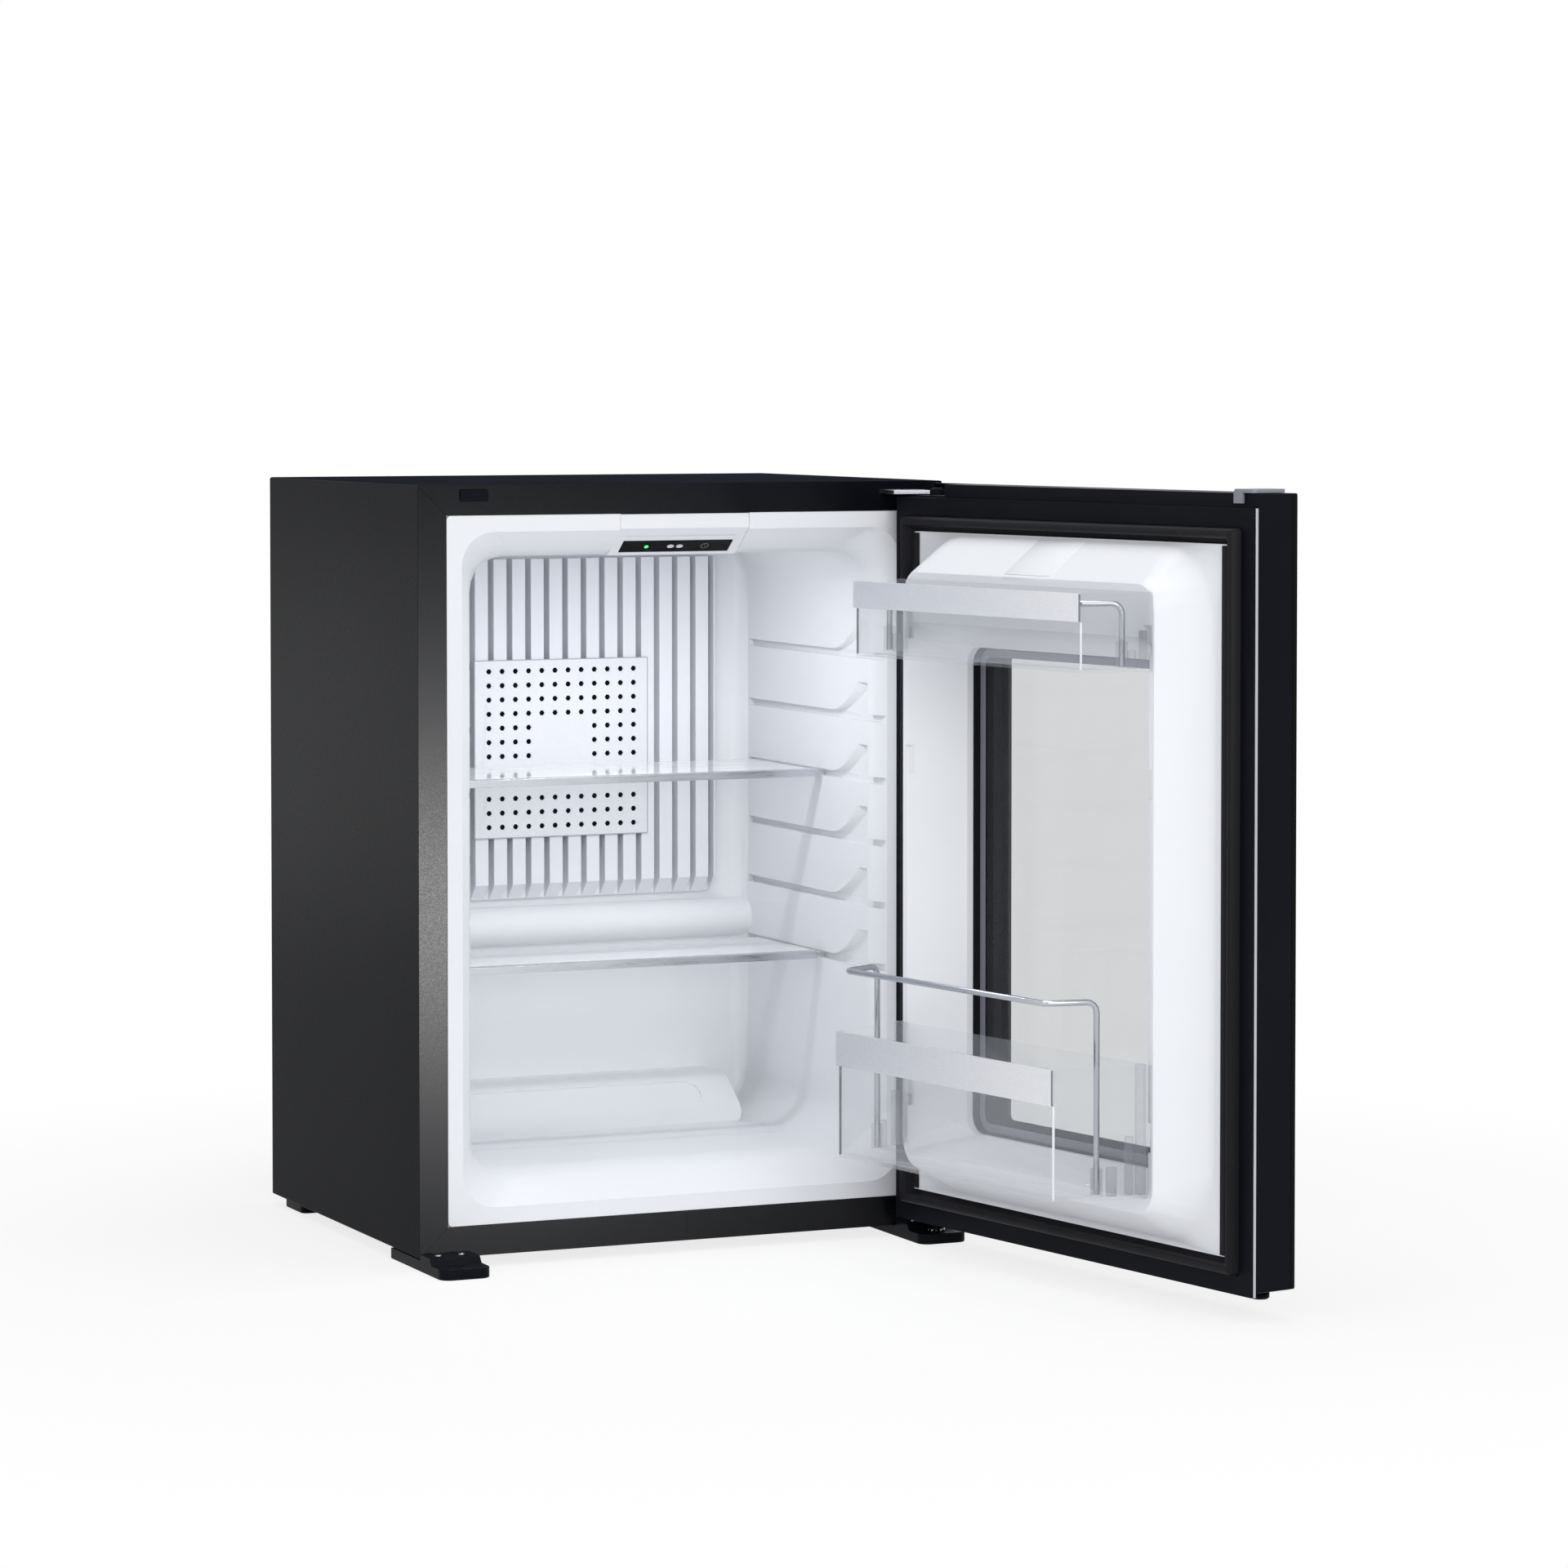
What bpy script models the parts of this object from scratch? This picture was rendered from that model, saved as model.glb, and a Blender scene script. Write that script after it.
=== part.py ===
# Hotel minibar with a glass door, built as separate pieces, its door standing open.
#
# Lengths are metres and +Z is up. The cabinet is drawn in its own frame: x runs from its left side
# to its right, y from the plane of its front flange to the back, and z up from its underside. The
# door is drawn closed in the same frame and turned about its hinge by an empty. One more empty, the
# parent of all, puts the origin on the floor under the middle of the whole object.

import math

import bmesh
import bpy
from mathutils import Matrix, Vector

# Clearances between neighbouring pieces
gap = 0.0003
slide_gap = 0.0005

# Cabinet
cabinet_width = 0.403
cabinet_depth = 0.3208
cabinet_height = 0.539
sheet = 0.001
flange_width = 0.0212
edge_radius = 0.0015

# Cavity of the inner liner
cavity_side = 0.045
cavity_floor = 0.0554
ceiling_drop = 0.050
cavity_depth = 0.256
cavity_corner = 0.026
liner_side_wall = 0.008
liner_wall = 0.002
mouth_depth = 0.030
mouth_corner = 0.030
rim_slope = 0.0115

# Shelf grooves in the side walls
groove_count = 6
groove_first = 0.1835
groove_pitch = 0.0451
groove_height = 0.0052
groove_inset = 0.005
groove_front = 0.009
groove_back = 0.246
groove_rise = 0.0225
groove_bend_start = 0.092
groove_bend_end = 0.034
groove_fan_front = 0.031
groove_draft = 0.0125

# Shelves
shelf_front = 0.1085
upper_shelf_depth = 0.1245
lower_shelf_depth = 0.1135
glass_shelf_thickness = 0.004
trim_height = 0.0053
trim_depth = 0.010
trim_wall = 0.0006
trim_side_gap = 0.004
upper_shelf_groove = 3
lower_shelf_groove = 0

# Drip gutter and the raised step at the foot of the back wall
gutter_height = 0.201
gutter_radius = 0.015
gutter_reach = 0.018
step_side = 0.078
step_foot = 0.170
step_edge = 0.215
step_height = 0.0870
step_corner = 0.018
step_recess_half = 0.0967
step_recess_width = 0.025
step_recess_share = 0.652
step_recess_depth = 0.0015
floor_line_depth = 0.0006
floor_line_width = 0.0016
floor_line_place = 0.115

# Finned evaporator and its perforated cover
tooth_width = 0.0105
slot_width = 0.0044
tooth_count = 16
first_tooth_width = 0.0082
last_tooth_width = 0.0012
tooth_depth = 0.012
evaporator_base = 0.0044
evaporator_bottom = 0.222
evaporator_top_gap = 0.011
cover_width = 0.140
cover_height = 0.1335
cover_bottom = 0.2690
cover_thickness = 0.001
cover_hole_radius = 0.0022
cover_hole_pitch = 0.0106
cover_rows = 12

# Lamp and control housing in the middle of the top lip
housing_width = 0.0985
housing_knee_rise = 0.018
housing_front = 0.0007
housing_reach = 0.026
strip_width = 0.084
strip_top_drop = 0.0150
strip_length = 0.0135
strip_line_gap = 0.0060
strip_thickness = 0.0012
lens_height = 0.003
lens_margin = 0.006
light_radius = 0.0022
light_from_middle = 0.0225
board_thickness = 0.0016

# Door
door_gap = 0.008
door_thickness = 0.037
outer_glass = 0.0037
door_body_bottom = 0.0114
door_top_drop = 0.0013
border_bottom = 0.009
border_top_drop = 0.0097
border_thickness = 0.004
border_width = 0.013
frame_member = 0.0237
open_angle = math.radians(100)
axis_from_side = 0.0186
axis_from_border = 0.0226

# Gasket
gasket_seat = 0.0033
gasket_bulb = 0.0062
gasket_height = 0.0074

# Inner liner of the door: side inset of each line of its form, and its lower and upper distance
# from the border's ends or from the ridge's lines
rim_inset = 0.024
rim_rise = 0.002
foot_inset = 0.036
foot_rise = 0.029
foot_drop = 0.025
ridge_inset = 0.057
ridge_low_rise = 0.0475
ridge_drop = 0.049
ridge_rise = 0.036
ridge_width = 0.007
ridge_wall = 0.0065
ridge_corner = 0.018
inner_corner = 0.006
ridge_inner_rise = 0.0115
ridge_inner_drop = 0.037
window_inset = 0.085
window_rise = 0.0235
window_drop = 0.055
door_liner_wall = 0.002

# Glazing behind the liner's window
inner_glass = 0.004
inner_glass_back = 0.016
inner_glass_lap = 0.015
pane_corner = 0.004
spacer_width = 0.0075
spacer_corner = 0.010

# Door hinge
hinge_pin_radius = 0.00225
bush_radius = 0.004
bush_length = 0.015
bush_flange_radius = 0.0065
bush_flange = 0.0085
hinge_plate_drop = 0.009
hinge_plate_thickness = 0.003
hinge_neck_width = 0.0154
hinge_neck_centre = 0.0415
hinge_eye_radius = 0.0075
pin_head_radius = 0.0036
hinge_tail = 0.028
recess_length = 0.053
slot_cover_width = 0.021
slot_cover_height = 0.0084
slot_cover_thickness = 0.001
cap_length = 0.022
cap_thickness = 0.0025
cap_tab_width = 0.009
cap_tab_drop = 0.007
edge_trim_low = 0.0039
edge_trim_high = 0.0017
edge_trim_thickness = 0.0007

# Feet
foot_height = 0.008
foot_pad_drop = 0.0006
foot_reach = 0.045
foot_back = 0.059
foot_block_reach = 0.020
foot_block_rise = 0.004
foot_riser_run = 0.004
foot_corner = 0.008
foot_screw_radius = 0.0026
foot_screw_spacing = 0.017
rear_foot_width = 0.030
rear_foot_length = 0.042
rear_foot_inset = 0.006

# Door bins
bin_wall = 0.002
bin_back_gap = 0.0004
bin_inset = 0.0575
bin_front_corner = 0.006
bin_back_corner = 0.0025
upper_bin_front = 0.087
upper_bin_front_inset = 0.072
upper_bin_drop = 0.007
upper_bin_height = 0.0524
upper_band_height = 0.0188
lower_bin_front = 0.105
lower_bin_front_inset = 0.077
lower_bin_rise = 0.0145
lower_bin_height = 0.088
lower_band_height = 0.0241
band_thickness = 0.0008
catch_left = 0.0612
catch_width = 0.0095
catch_height = 0.020
catch_depth = 0.0045
upper_catch_rise = 0.0104
middle_catch_low = 0.335
lower_catch_rise = 0.029
lug_left = 0.0617
lug_width = 0.0050
lug_height = 0.008
lug_depth = 0.0026
sleeve_radius = 0.004
sleeve_height = 0.018

# Wires
wire_radius = 0.002
wire_bend = 0.007
upper_wire_drop = 0.007
upper_wire_back = 0.055
rail_rise = 0.0428
rail_leg = 0.070
rail_front = 0.104
rail_leg_inset = 0.0758
rail_front_inset = 0.087

# Cooling unit on the back
jacket_width = 0.070
jacket_depth = 0.066
jacket_low = 0.095
jacket_drop = 0.110
jacket_corner = 0.012
jacket_side = 0.048
boiler_radius = 0.010
unit_pipe_radius = 0.008
unit_depth = 0.040
condenser_height = 0.455
condenser_drop = 0.015
condenser_left = 0.070
condenser_fins = 12
condenser_fin_pitch = 0.010
condenser_fin_size = 0.050
condenser_fin_thickness = 0.0012
coil_radius = 0.007
coil_width = 0.150
coil_from_tank_end = 0.025
coil_drop = 0.045
coil_pitch = 0.040
coil_runs = 5
coil_slope = 0.006
tank_radius = 0.027
tank_clearance = 0.035
tank_length = 0.165
tank_height = 0.125
heater_radius = 0.006
heater_length = 0.085
heater_lead_in = 0.050
evaporator_pipe_radius = 0.006
evaporator_pipe_high = 0.400
evaporator_pipe_drop = 0.070
evaporator_pipe_half = 0.090
box_width = 0.120
box_height = 0.052
box_depth = 0.045
box_clearance = 0.011
box_low = 0.030
inlet_width = 0.027
inlet_height = 0.020
inlet_depth = 0.016
bracket_width = 0.030
bracket_thickness = 0.0015
bracket_height = 0.022
condenser_bracket_from_end = 0.036
tank_bracket_from_end = 0.049

# Steps of round shapes
corner_steps = 6
round_steps = 20
small_round_steps = 12

# Values that follow from the ones above
door_plane = -door_gap
hinge_x = cabinet_width - axis_from_side
hinge_y = door_plane - axis_from_border
mid_x = cabinet_width / 2
panel_back = cabinet_depth
mouth_side = cavity_side - 0.0005
cavity_ceiling = cabinet_height - ceiling_drop
housing_top = cabinet_height - flange_width - 2 * gap
housing_knee = cavity_ceiling + housing_knee_rise
hinge_plate_low = cabinet_height - hinge_plate_drop
door_body_top = cabinet_height - door_top_drop
border_top = door_body_top - border_top_drop
foot_low = border_bottom + foot_rise
foot_high = border_top - foot_drop
ridge_low = border_bottom + ridge_low_rise
ridge_high = border_top - ridge_drop
ridge_inner_low = ridge_low + ridge_inner_rise
ridge_inner_high = ridge_high - ridge_inner_drop
window_low = ridge_low + window_rise
window_high = ridge_high - window_drop
upper_bin_high = ridge_high - upper_bin_drop
upper_bin_low = upper_bin_high - upper_bin_height
lower_bin_low = ridge_low + lower_bin_rise
lower_bin_high = lower_bin_low + lower_bin_height
upper_catch_low = upper_bin_low + upper_catch_rise
lower_catch_low = lower_bin_low + lower_catch_rise
upper_wire_top = upper_bin_high - upper_wire_drop
rail_height = lower_bin_high + rail_rise
jacket_left = cabinet_width - jacket_side - jacket_width
jacket_top = condenser_height - jacket_drop
tank_right = jacket_left - tank_clearance
tank_left = tank_right - tank_length
tank_bracket_x = tank_right - tank_bracket_from_end
box_left = tank_bracket_x - bracket_width / 2 - box_clearance - box_width
coil_right = tank_right - coil_from_tank_end
coil_left = coil_right - coil_width
coil_top = condenser_height - condenser_drop - coil_drop
condenser_bracket_x = condenser_left + condenser_bracket_from_end


def clear_scene():
    for item in list(bpy.data.objects):
        bpy.data.objects.remove(item, do_unlink=True)


def material(name, colour, roughness, metallic=0.0, alpha=1.0):
    found = bpy.data.materials.get(name)
    if found:
        return found
    made = bpy.data.materials.new(name)
    made.use_nodes = True
    shader = made.node_tree.nodes["Principled BSDF"]
    shader.inputs["Base Color"].default_value = (*colour, 1.0)
    shader.inputs["Roughness"].default_value = roughness
    shader.inputs["Metallic"].default_value = metallic
    shader.inputs["Alpha"].default_value = alpha
    made.diffuse_color = (*colour, alpha)
    return made


def black_steel():
    return material("black_coated_steel", (0.012, 0.013, 0.018), 0.45)


def black_plastic():
    return material("black_plastic", (0.014, 0.015, 0.020), 0.40)


def white_plastic():
    return material("white_liner_plastic", (0.86, 0.88, 0.92), 0.25)


def white_metal():
    return material("white_coated_aluminium", (0.84, 0.86, 0.90), 0.40)


def grey_metal():
    return material("grey_metal", (0.32, 0.33, 0.36), 0.40, 0.8)


def brushed_metal():
    return material("brushed_aluminium", (0.70, 0.72, 0.75), 0.30, 1.0)


def bright_steel():
    return material("bright_steel", (0.66, 0.67, 0.70), 0.25, 1.0)


def clear_plastic():
    return material("clear_plastic", (0.90, 0.92, 0.95), 0.08, 0.0, 0.35)


def clear_glass():
    return material("clear_glass", (0.92, 0.96, 0.96), 0.05, 0.0, 0.30)


def black_glass():
    return material("black_glass", (0.01, 0.01, 0.012), 0.08)


def tinted_glass():
    return material("tinted_glass", (0.05, 0.055, 0.06), 0.05, 0.0, 0.60)


def rubber():
    return material("black_rubber", (0.02, 0.02, 0.025), 0.70)


def foam():
    return material("insulating_foam", (0.78, 0.70, 0.46), 0.95)


def galvanised():
    return material("galvanised_steel", (0.45, 0.46, 0.48), 0.50, 0.9)


def unit_paint():
    return material("black_unit_paint", (0.02, 0.02, 0.022), 0.55)


def green_light():
    return material("green_light", (0.05, 0.85, 0.15), 0.30)


# Shapes

def place(name, mesh, finish, parent):
    mesh.materials.clear()
    mesh.materials.append(finish)
    made = bpy.data.objects.new(name, mesh)
    bpy.context.scene.collection.objects.link(made)
    made.parent = parent
    return made


def finish_mesh(name, work):
    bmesh.ops.recalc_face_normals(work, faces=work.faces)
    mesh = bpy.data.meshes.new(name)
    work.to_mesh(mesh)
    work.free()
    return mesh


def smooth(mesh, angle=35):
    mesh.shade_smooth()
    mesh.set_sharp_from_angle(angle=math.radians(angle))
    return mesh


def box(low, high):
    """A block between two corners."""
    work = bmesh.new()
    bmesh.ops.create_cube(work, size=1.0)
    size = Vector(high) - Vector(low)
    centre = (Vector(high) + Vector(low)) / 2
    bmesh.ops.scale(work, vec=size, verts=work.verts)
    bmesh.ops.translate(work, vec=centre, verts=work.verts)
    return finish_mesh("box", work)


def rounded_box(low, high, radius, along, steps=3):
    """A block whose edges along one axis are rounded."""
    work = bmesh.new()
    bmesh.ops.create_cube(work, size=1.0)
    size = Vector(high) - Vector(low)
    centre = (Vector(high) + Vector(low)) / 2
    bmesh.ops.scale(work, vec=size, verts=work.verts)
    bmesh.ops.translate(work, vec=centre, verts=work.verts)
    edges = [e for e in work.edges if abs((e.verts[1].co - e.verts[0].co).normalized()[along]) > 0.9]
    bmesh.ops.bevel(work, geom=edges, offset=radius, segments=steps, profile=0.5, affect="EDGES")
    return finish_mesh("rounded_box", work)


def loft(rings, closed=False):
    """A skin over rings that have the same number of points, capped at both ends unless closed."""
    work = bmesh.new()
    rows = [[work.verts.new(p) for p in ring] for ring in rings]
    count = len(rows[0])
    pairs = list(zip(rows, rows[1:]))
    if closed:
        pairs.append((rows[-1], rows[0]))
    for first, second in pairs:
        for i in range(count):
            j = (i + 1) % count
            work.faces.new((first[i], first[j], second[j], second[i]))
    if not closed:
        work.faces.new(rows[0])
        work.faces.new(rows[-1])
    work.normal_update()
    bmesh.ops.triangulate(work, faces=[f for f in work.faces if len(f.verts) > 4],
                          ngon_method="EAR_CLIP")
    return finish_mesh("loft", work)


def rounded_corner(corner, before, after, radius, steps):
    """Points of an arc that rounds a corner between its two neighbours."""
    corner, before, after = Vector(corner), Vector(before), Vector(after)
    to_before = (before - corner).normalized()
    to_after = (after - corner).normalized()
    half = math.acos(max(-1.0, min(1.0, to_before.dot(to_after)))) / 2
    reach = radius / math.tan(half)
    centre = corner + (to_before + to_after).normalized() * (radius / math.sin(half))
    start = corner + to_before * reach - centre
    end = corner + to_after * reach - centre
    turn = math.pi - 2 * half
    points = []
    for i in range(steps + 1):
        share = i / steps
        point = (start * math.sin((1 - share) * turn) + end * math.sin(share * turn)) / math.sin(turn)
        points.append(centre + point)
    return points


def rounded_outline(corners, radii, steps=corner_steps):
    """A closed outline with its corners rounded by one radius or by one for each corner."""
    points = []
    for i, corner in enumerate(corners):
        radius = radii[i] if isinstance(radii, (list, tuple)) else radii
        points += rounded_corner(corner, corners[i - 1], corners[(i + 1) % len(corners)], radius, steps)
    return points


def inset_outline(corners, distance):
    """A convex outline in one plane, drawn in by a distance, in order of its corners."""
    lines = []
    middle = sum((Vector(c) for c in corners), Vector((0, 0))) / len(corners)
    for i, first in enumerate(corners):
        second = corners[(i + 1) % len(corners)]
        along = (Vector(second) - Vector(first)).normalized()
        inward = Vector((-along.y, along.x))
        if (middle - Vector(first)).dot(inward) < 0:
            inward = -inward
        lines.append((Vector(first) + inward * distance, along))
    result = []
    for i in range(len(lines)):
        (p, u), (q, v) = lines[i - 1], lines[i]
        cross = u.x * v.y - u.y * v.x
        share = ((q.x - p.x) * v.y - (q.y - p.y) * v.x) / cross
        result.append(p + u * share)
    return result


def rectangle(x0, x1, z0, z1, y, radius, steps=corner_steps):
    """A rounded upright rectangle at one depth."""
    corners = [(x0, z0), (x1, z0), (x1, z1), (x0, z1)]
    return [(p.x, y, p.y) for p in rounded_outline(corners, radius, steps)]


def prism(outline, low, high, axis):
    """A flat outline pushed along one axis; the outline gives the other two coordinates in order."""
    def at(point, value):
        values = list(point)
        values.insert(axis, value)
        return tuple(values)
    return loft([[at(p, low) for p in outline], [at(p, high) for p in outline]])


def cylinder(centre, radius, low, high, axis=2, steps=round_steps):
    """A round bar along one axis; centre gives the other two coordinates in order."""
    outline = []
    for i in range(steps):
        angle = 2 * math.pi * i / steps
        outline.append((centre[0] + radius * math.cos(angle), centre[1] + radius * math.sin(angle)))
    return smooth(prism(outline, low, high, axis))


def turned(profile, centre, steps=round_steps):
    """A body turned about an upright axis from (radius, height) points."""
    rings = []
    for radius, height in profile:
        ring = []
        for i in range(steps):
            angle = 2 * math.pi * i / steps
            ring.append((centre[0] + radius * math.cos(angle), centre[1] + radius * math.sin(angle), height))
        rings.append(ring)
    return smooth(loft(rings))


def bent_path(corners, radius, steps=4):
    """Points of a path whose inner corners are rounded."""
    points = [Vector(corners[0])]
    for i in range(1, len(corners) - 1):
        points += rounded_corner(corners[i], corners[i - 1], corners[i + 1], radius, steps)
    points.append(Vector(corners[-1]))
    return points


def rod(points, radius, sides=10):
    """A round rod along a path."""
    points = [Vector(p) for p in points]
    ahead = [(b - a).normalized() for a, b in zip(points, points[1:])]
    side = ahead[0].orthogonal().normalized()
    rings = []
    for i, point in enumerate(points):
        before = ahead[max(i - 1, 0)]
        after = ahead[min(i, len(ahead) - 1)]
        along = (before + after).normalized()
        side = (side - along * side.dot(along)).normalized()
        other = along.cross(side)
        widen = 1.0 / max(0.7, along.dot(after))
        ring = []
        for k in range(sides):
            angle = 2 * math.pi * k / sides
            ring.append(point + (side * math.cos(angle) + other * math.sin(angle)) * radius * widen)
        rings.append(ring)
    return smooth(loft(rings))


def combine(base, other, operation):
    """The result of a Boolean on two meshes."""
    first = bpy.data.objects.new("base", base)
    second = bpy.data.objects.new("tool", other)
    for item in (first, second):
        bpy.context.scene.collection.objects.link(item)
    cut = first.modifiers.new("cut", "BOOLEAN")
    cut.object = second
    cut.operation = operation
    cut.solver = "EXACT"
    bpy.context.view_layer.update()
    view = bpy.context.evaluated_depsgraph_get()
    result = bpy.data.meshes.new_from_object(first.evaluated_get(view))
    for item in (first, second):
        bpy.data.objects.remove(item, do_unlink=True)
    return result


def minus(base, *tools):
    for tool in tools:
        base = combine(base, tool, "DIFFERENCE")
    return base


def plus(base, *others):
    for other in others:
        base = combine(base, other, "UNION")
    return base


def empty(name, location, parent):
    made = bpy.data.objects.new(name, None)
    made.location = location
    bpy.context.scene.collection.objects.link(made)
    made.parent = parent
    return made


# Cabinet shell

def hinge_slot(centre_x, low_y, high_y):
    half = hinge_neck_width / 2 + slide_gap
    low = hinge_plate_low - slide_gap
    high = hinge_plate_low + hinge_plate_thickness + slide_gap
    return box((centre_x - half, low_y, low), (centre_x + half, high_y, high))


def outer_wrap(root):
    shell = rounded_box((0, 0, 0), (cabinet_width, cabinet_depth, cabinet_height), edge_radius, 1, 2)
    inside = box((sheet, sheet, sheet), (cabinet_width - sheet, cabinet_depth + sheet, cabinet_height - sheet))
    opening = box((flange_width, -sheet, flange_width),
                  (cabinet_width - flange_width, 2 * sheet, cabinet_height - flange_width))
    slots = [hinge_slot(x, -sheet, 2 * sheet) for x in (hinge_neck_centre, cabinet_width - hinge_neck_centre)]
    return place("outer_wrap", minus(shell, inside, opening, *slots), black_steel(), root)


def pipe_places():
    return [(mid_x - evaporator_pipe_half, evaporator_pipe_high),
            (mid_x - evaporator_pipe_half, evaporator_pipe_high - evaporator_pipe_drop)]


def back_panel(root):
    low, high = sheet + gap, cabinet_height - sheet - gap
    panel = box((low, panel_back - sheet, low), (cabinet_width - low, panel_back, high))
    holes = [cylinder((x, z), evaporator_pipe_radius + gap, panel_back - 2 * sheet, panel_back + sheet, 1,
                      small_round_steps) for x, z in pipe_places()]
    return place("back_panel", minus(panel, *holes), galvanised(), root)


# Inner liner

def liner_front():
    """The visible side of the liner from the rim to the back wall: inset, floor, ceiling, depth, radius."""
    rim = flange_width + gap
    top = cabinet_height - rim
    slope = rim_slope
    return [
        (rim, rim, top, gap, 0.003),
        (rim + slope, rim + slope, top - slope, 0.0010, mouth_corner - 0.006),
        (cavity_side - 0.005, cavity_floor - 0.016, cavity_ceiling + 0.012, 0.008, mouth_corner),
        (mouth_side, cavity_floor - 0.007, cavity_ceiling + 0.004, 0.017, mouth_corner),
        (cavity_side, cavity_floor - 0.0008, cavity_ceiling - 0.001, mouth_depth, mouth_corner),
        (cavity_side, cavity_floor, cavity_ceiling, mouth_depth + 0.015, cavity_corner),
        (cavity_side, cavity_floor, cavity_ceiling, cavity_depth - 0.010, cavity_corner),
        (cavity_side + 0.003, cavity_floor + 0.003, cavity_ceiling - 0.003, cavity_depth - 0.003, cavity_corner),
        (cavity_side + 0.010, cavity_floor + 0.010, cavity_ceiling - 0.010, cavity_depth, cavity_corner - 0.006),
    ]


def liner_ring(inset, low, high, depth, radius):
    return rectangle(inset, cabinet_width - inset, low, high, depth, radius)


def liner_back(extra=0.0):
    """The hidden side of the liner, grown by an extra clearance: rim, side body and back."""
    rim = flange_width + gap - extra
    side = cavity_side - liner_side_wall - extra
    low = cavity_floor - liner_wall - extra
    high = cavity_ceiling + liner_wall + extra
    front_low = cavity_floor - 0.021 - extra
    front_high = cavity_ceiling + 0.016 + extra
    back = cavity_depth + liner_wall + extra
    return [
        (rim, rim, cabinet_height - rim, gap + 0.003 + extra, 0.003),
        (side - 0.006, front_low, front_high, 0.006 + extra, mouth_corner),
        (side, low - 0.004, high + 0.004, mouth_depth - 0.008, mouth_corner),
        (side, low, high, mouth_depth + 0.015, cavity_corner),
        (side, low, high, back, cavity_corner),
    ]


def groove_cutter(index, side):
    """One shelf groove: level below, its upper edge curving up towards the front, where it is drafted."""
    low = groove_first + index * groove_pitch
    high = low + groove_height

    def section(x, draft):
        ring = [(x, groove_front, low), (x, groove_back, low), (x, groove_back, high)]
        for i in range(corner_steps + 1):
            share = i / corner_steps
            y = groove_bend_start - (groove_bend_start - groove_bend_end - draft) * share
            ring.append((x, y, high + groove_rise * share ** 1.7))
        ring += [(x, groove_fan_front, high + groove_rise), (x, groove_fan_front, high), (x, groove_front, high)]
        return ring
    depth = cavity_side - groove_inset
    rings = [section(depth, 0.0), section(cavity_side, groove_draft), section(mid_x / 2, groove_draft)]
    if side > 0:
        rings = [[(cabinet_width - x, y, z) for x, y, z in ring] for ring in rings]
    return loft(rings)


def step_outline():
    return [(cavity_depth + liner_wall / 2, cavity_floor - liner_wall / 2),
            (step_foot, cavity_floor - liner_wall / 2), (step_edge, step_height),
            (cavity_depth + liner_wall / 2, step_height)]


def step_recess():
    """The long shallow recess with round ends on the face of the raised step."""
    run, rise = step_edge - step_foot, step_height - cavity_floor
    length = math.hypot(run, rise)
    half = step_recess_width / 2
    outline = []
    for centre, turn in ((mid_x + step_recess_half - half, -math.pi / 2),
                         (mid_x - step_recess_half + half, math.pi / 2)):
        for i in range(corner_steps + 1):
            angle = turn + math.pi * i / corner_steps
            outline.append((centre + half * math.cos(angle), half * math.sin(angle)))
    middle = Vector((step_foot + run * step_recess_share, cavity_floor + rise * step_recess_share))
    up = Vector((run, rise)) / length
    out = Vector((-rise, run)) / length

    def at(x, along, off):
        spot = middle + up * along + out * off
        return (x, spot.x, spot.y)
    deep, proud = -step_recess_depth, 0.003
    return loft([[at(x, s, deep) for x, s in outline], [at(x, s, proud) for x, s in outline]])


def raised_step():
    """The raised step at the foot of the back wall, its two front corners rounded."""
    step = prism(step_outline(), step_side, cabinet_width - step_side, 0)
    back = cavity_depth + liner_wall
    right = cabinet_width - step_side
    plan = rounded_outline([(step_side, step_foot - 0.001), (right, step_foot - 0.001), (right, back),
                            (step_side, back)], [step_corner, step_corner, 0, 0], 4)
    return combine(step, prism(plan, cavity_floor - liner_wall, step_height + liner_wall, 2), "INTERSECT")


def floor_line():
    """A shallow line across the floor of the cavity."""
    half = floor_line_width / 2
    return box((cavity_side + cavity_corner, floor_line_place - half, cavity_floor - floor_line_depth),
               (cabinet_width - cavity_side - cavity_corner, floor_line_place + half, cavity_floor + 0.002))


def inner_liner(root):
    front = [liner_ring(*row) for row in liner_front()]
    back = [liner_ring(*row) for row in liner_back()]
    shell = smooth(loft(list(reversed(front)) + back))
    cutters = [groove_cutter(i, side) for side in (-1, 1) for i in range(groove_count)]
    shell = minus(shell, *cutters)
    gutter = []
    for i in range(corner_steps * 2 + 1):
        angle = -math.pi / 2 + math.pi * i / (corner_steps * 2)
        gutter.append((cavity_depth + liner_wall / 2 - gutter_reach * math.cos(angle),
                       gutter_height + gutter_radius * math.sin(angle)))
    lap = liner_wall / 2
    gutter_bar = prism(gutter, cavity_side - lap, cabinet_width - cavity_side + lap, 0)
    shell = plus(shell, gutter_bar, raised_step())
    shell = minus(shell, step_recess(), floor_line(), housing_space(gap))
    return place("inner_liner", smooth(shell, 30), white_plastic(), root)


# Lamp and control housing

def housing_face(along):
    """A point on the slanted face, measured down from its upper edge."""
    start = Vector((housing_front, housing_knee))
    end = Vector((housing_reach, cavity_ceiling - 0.0015))
    return start + (end - start).normalized() * along


def housing_section():
    low = cavity_ceiling - 0.0015
    back = housing_reach + 0.012
    return [(housing_front, housing_top), (housing_front, housing_knee), (housing_reach, low),
            (back, low), (back, housing_top)]


def housing_space(grow):
    half = housing_width / 2 + grow
    section = [(-0.002, housing_top + grow), (-0.002, cavity_ceiling - 0.012),
               (housing_reach + 0.012 + grow, cavity_ceiling - 0.012),
               (housing_reach + 0.012 + grow, housing_top + grow)]
    return prism(section, mid_x - half, mid_x + half, 0)


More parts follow.
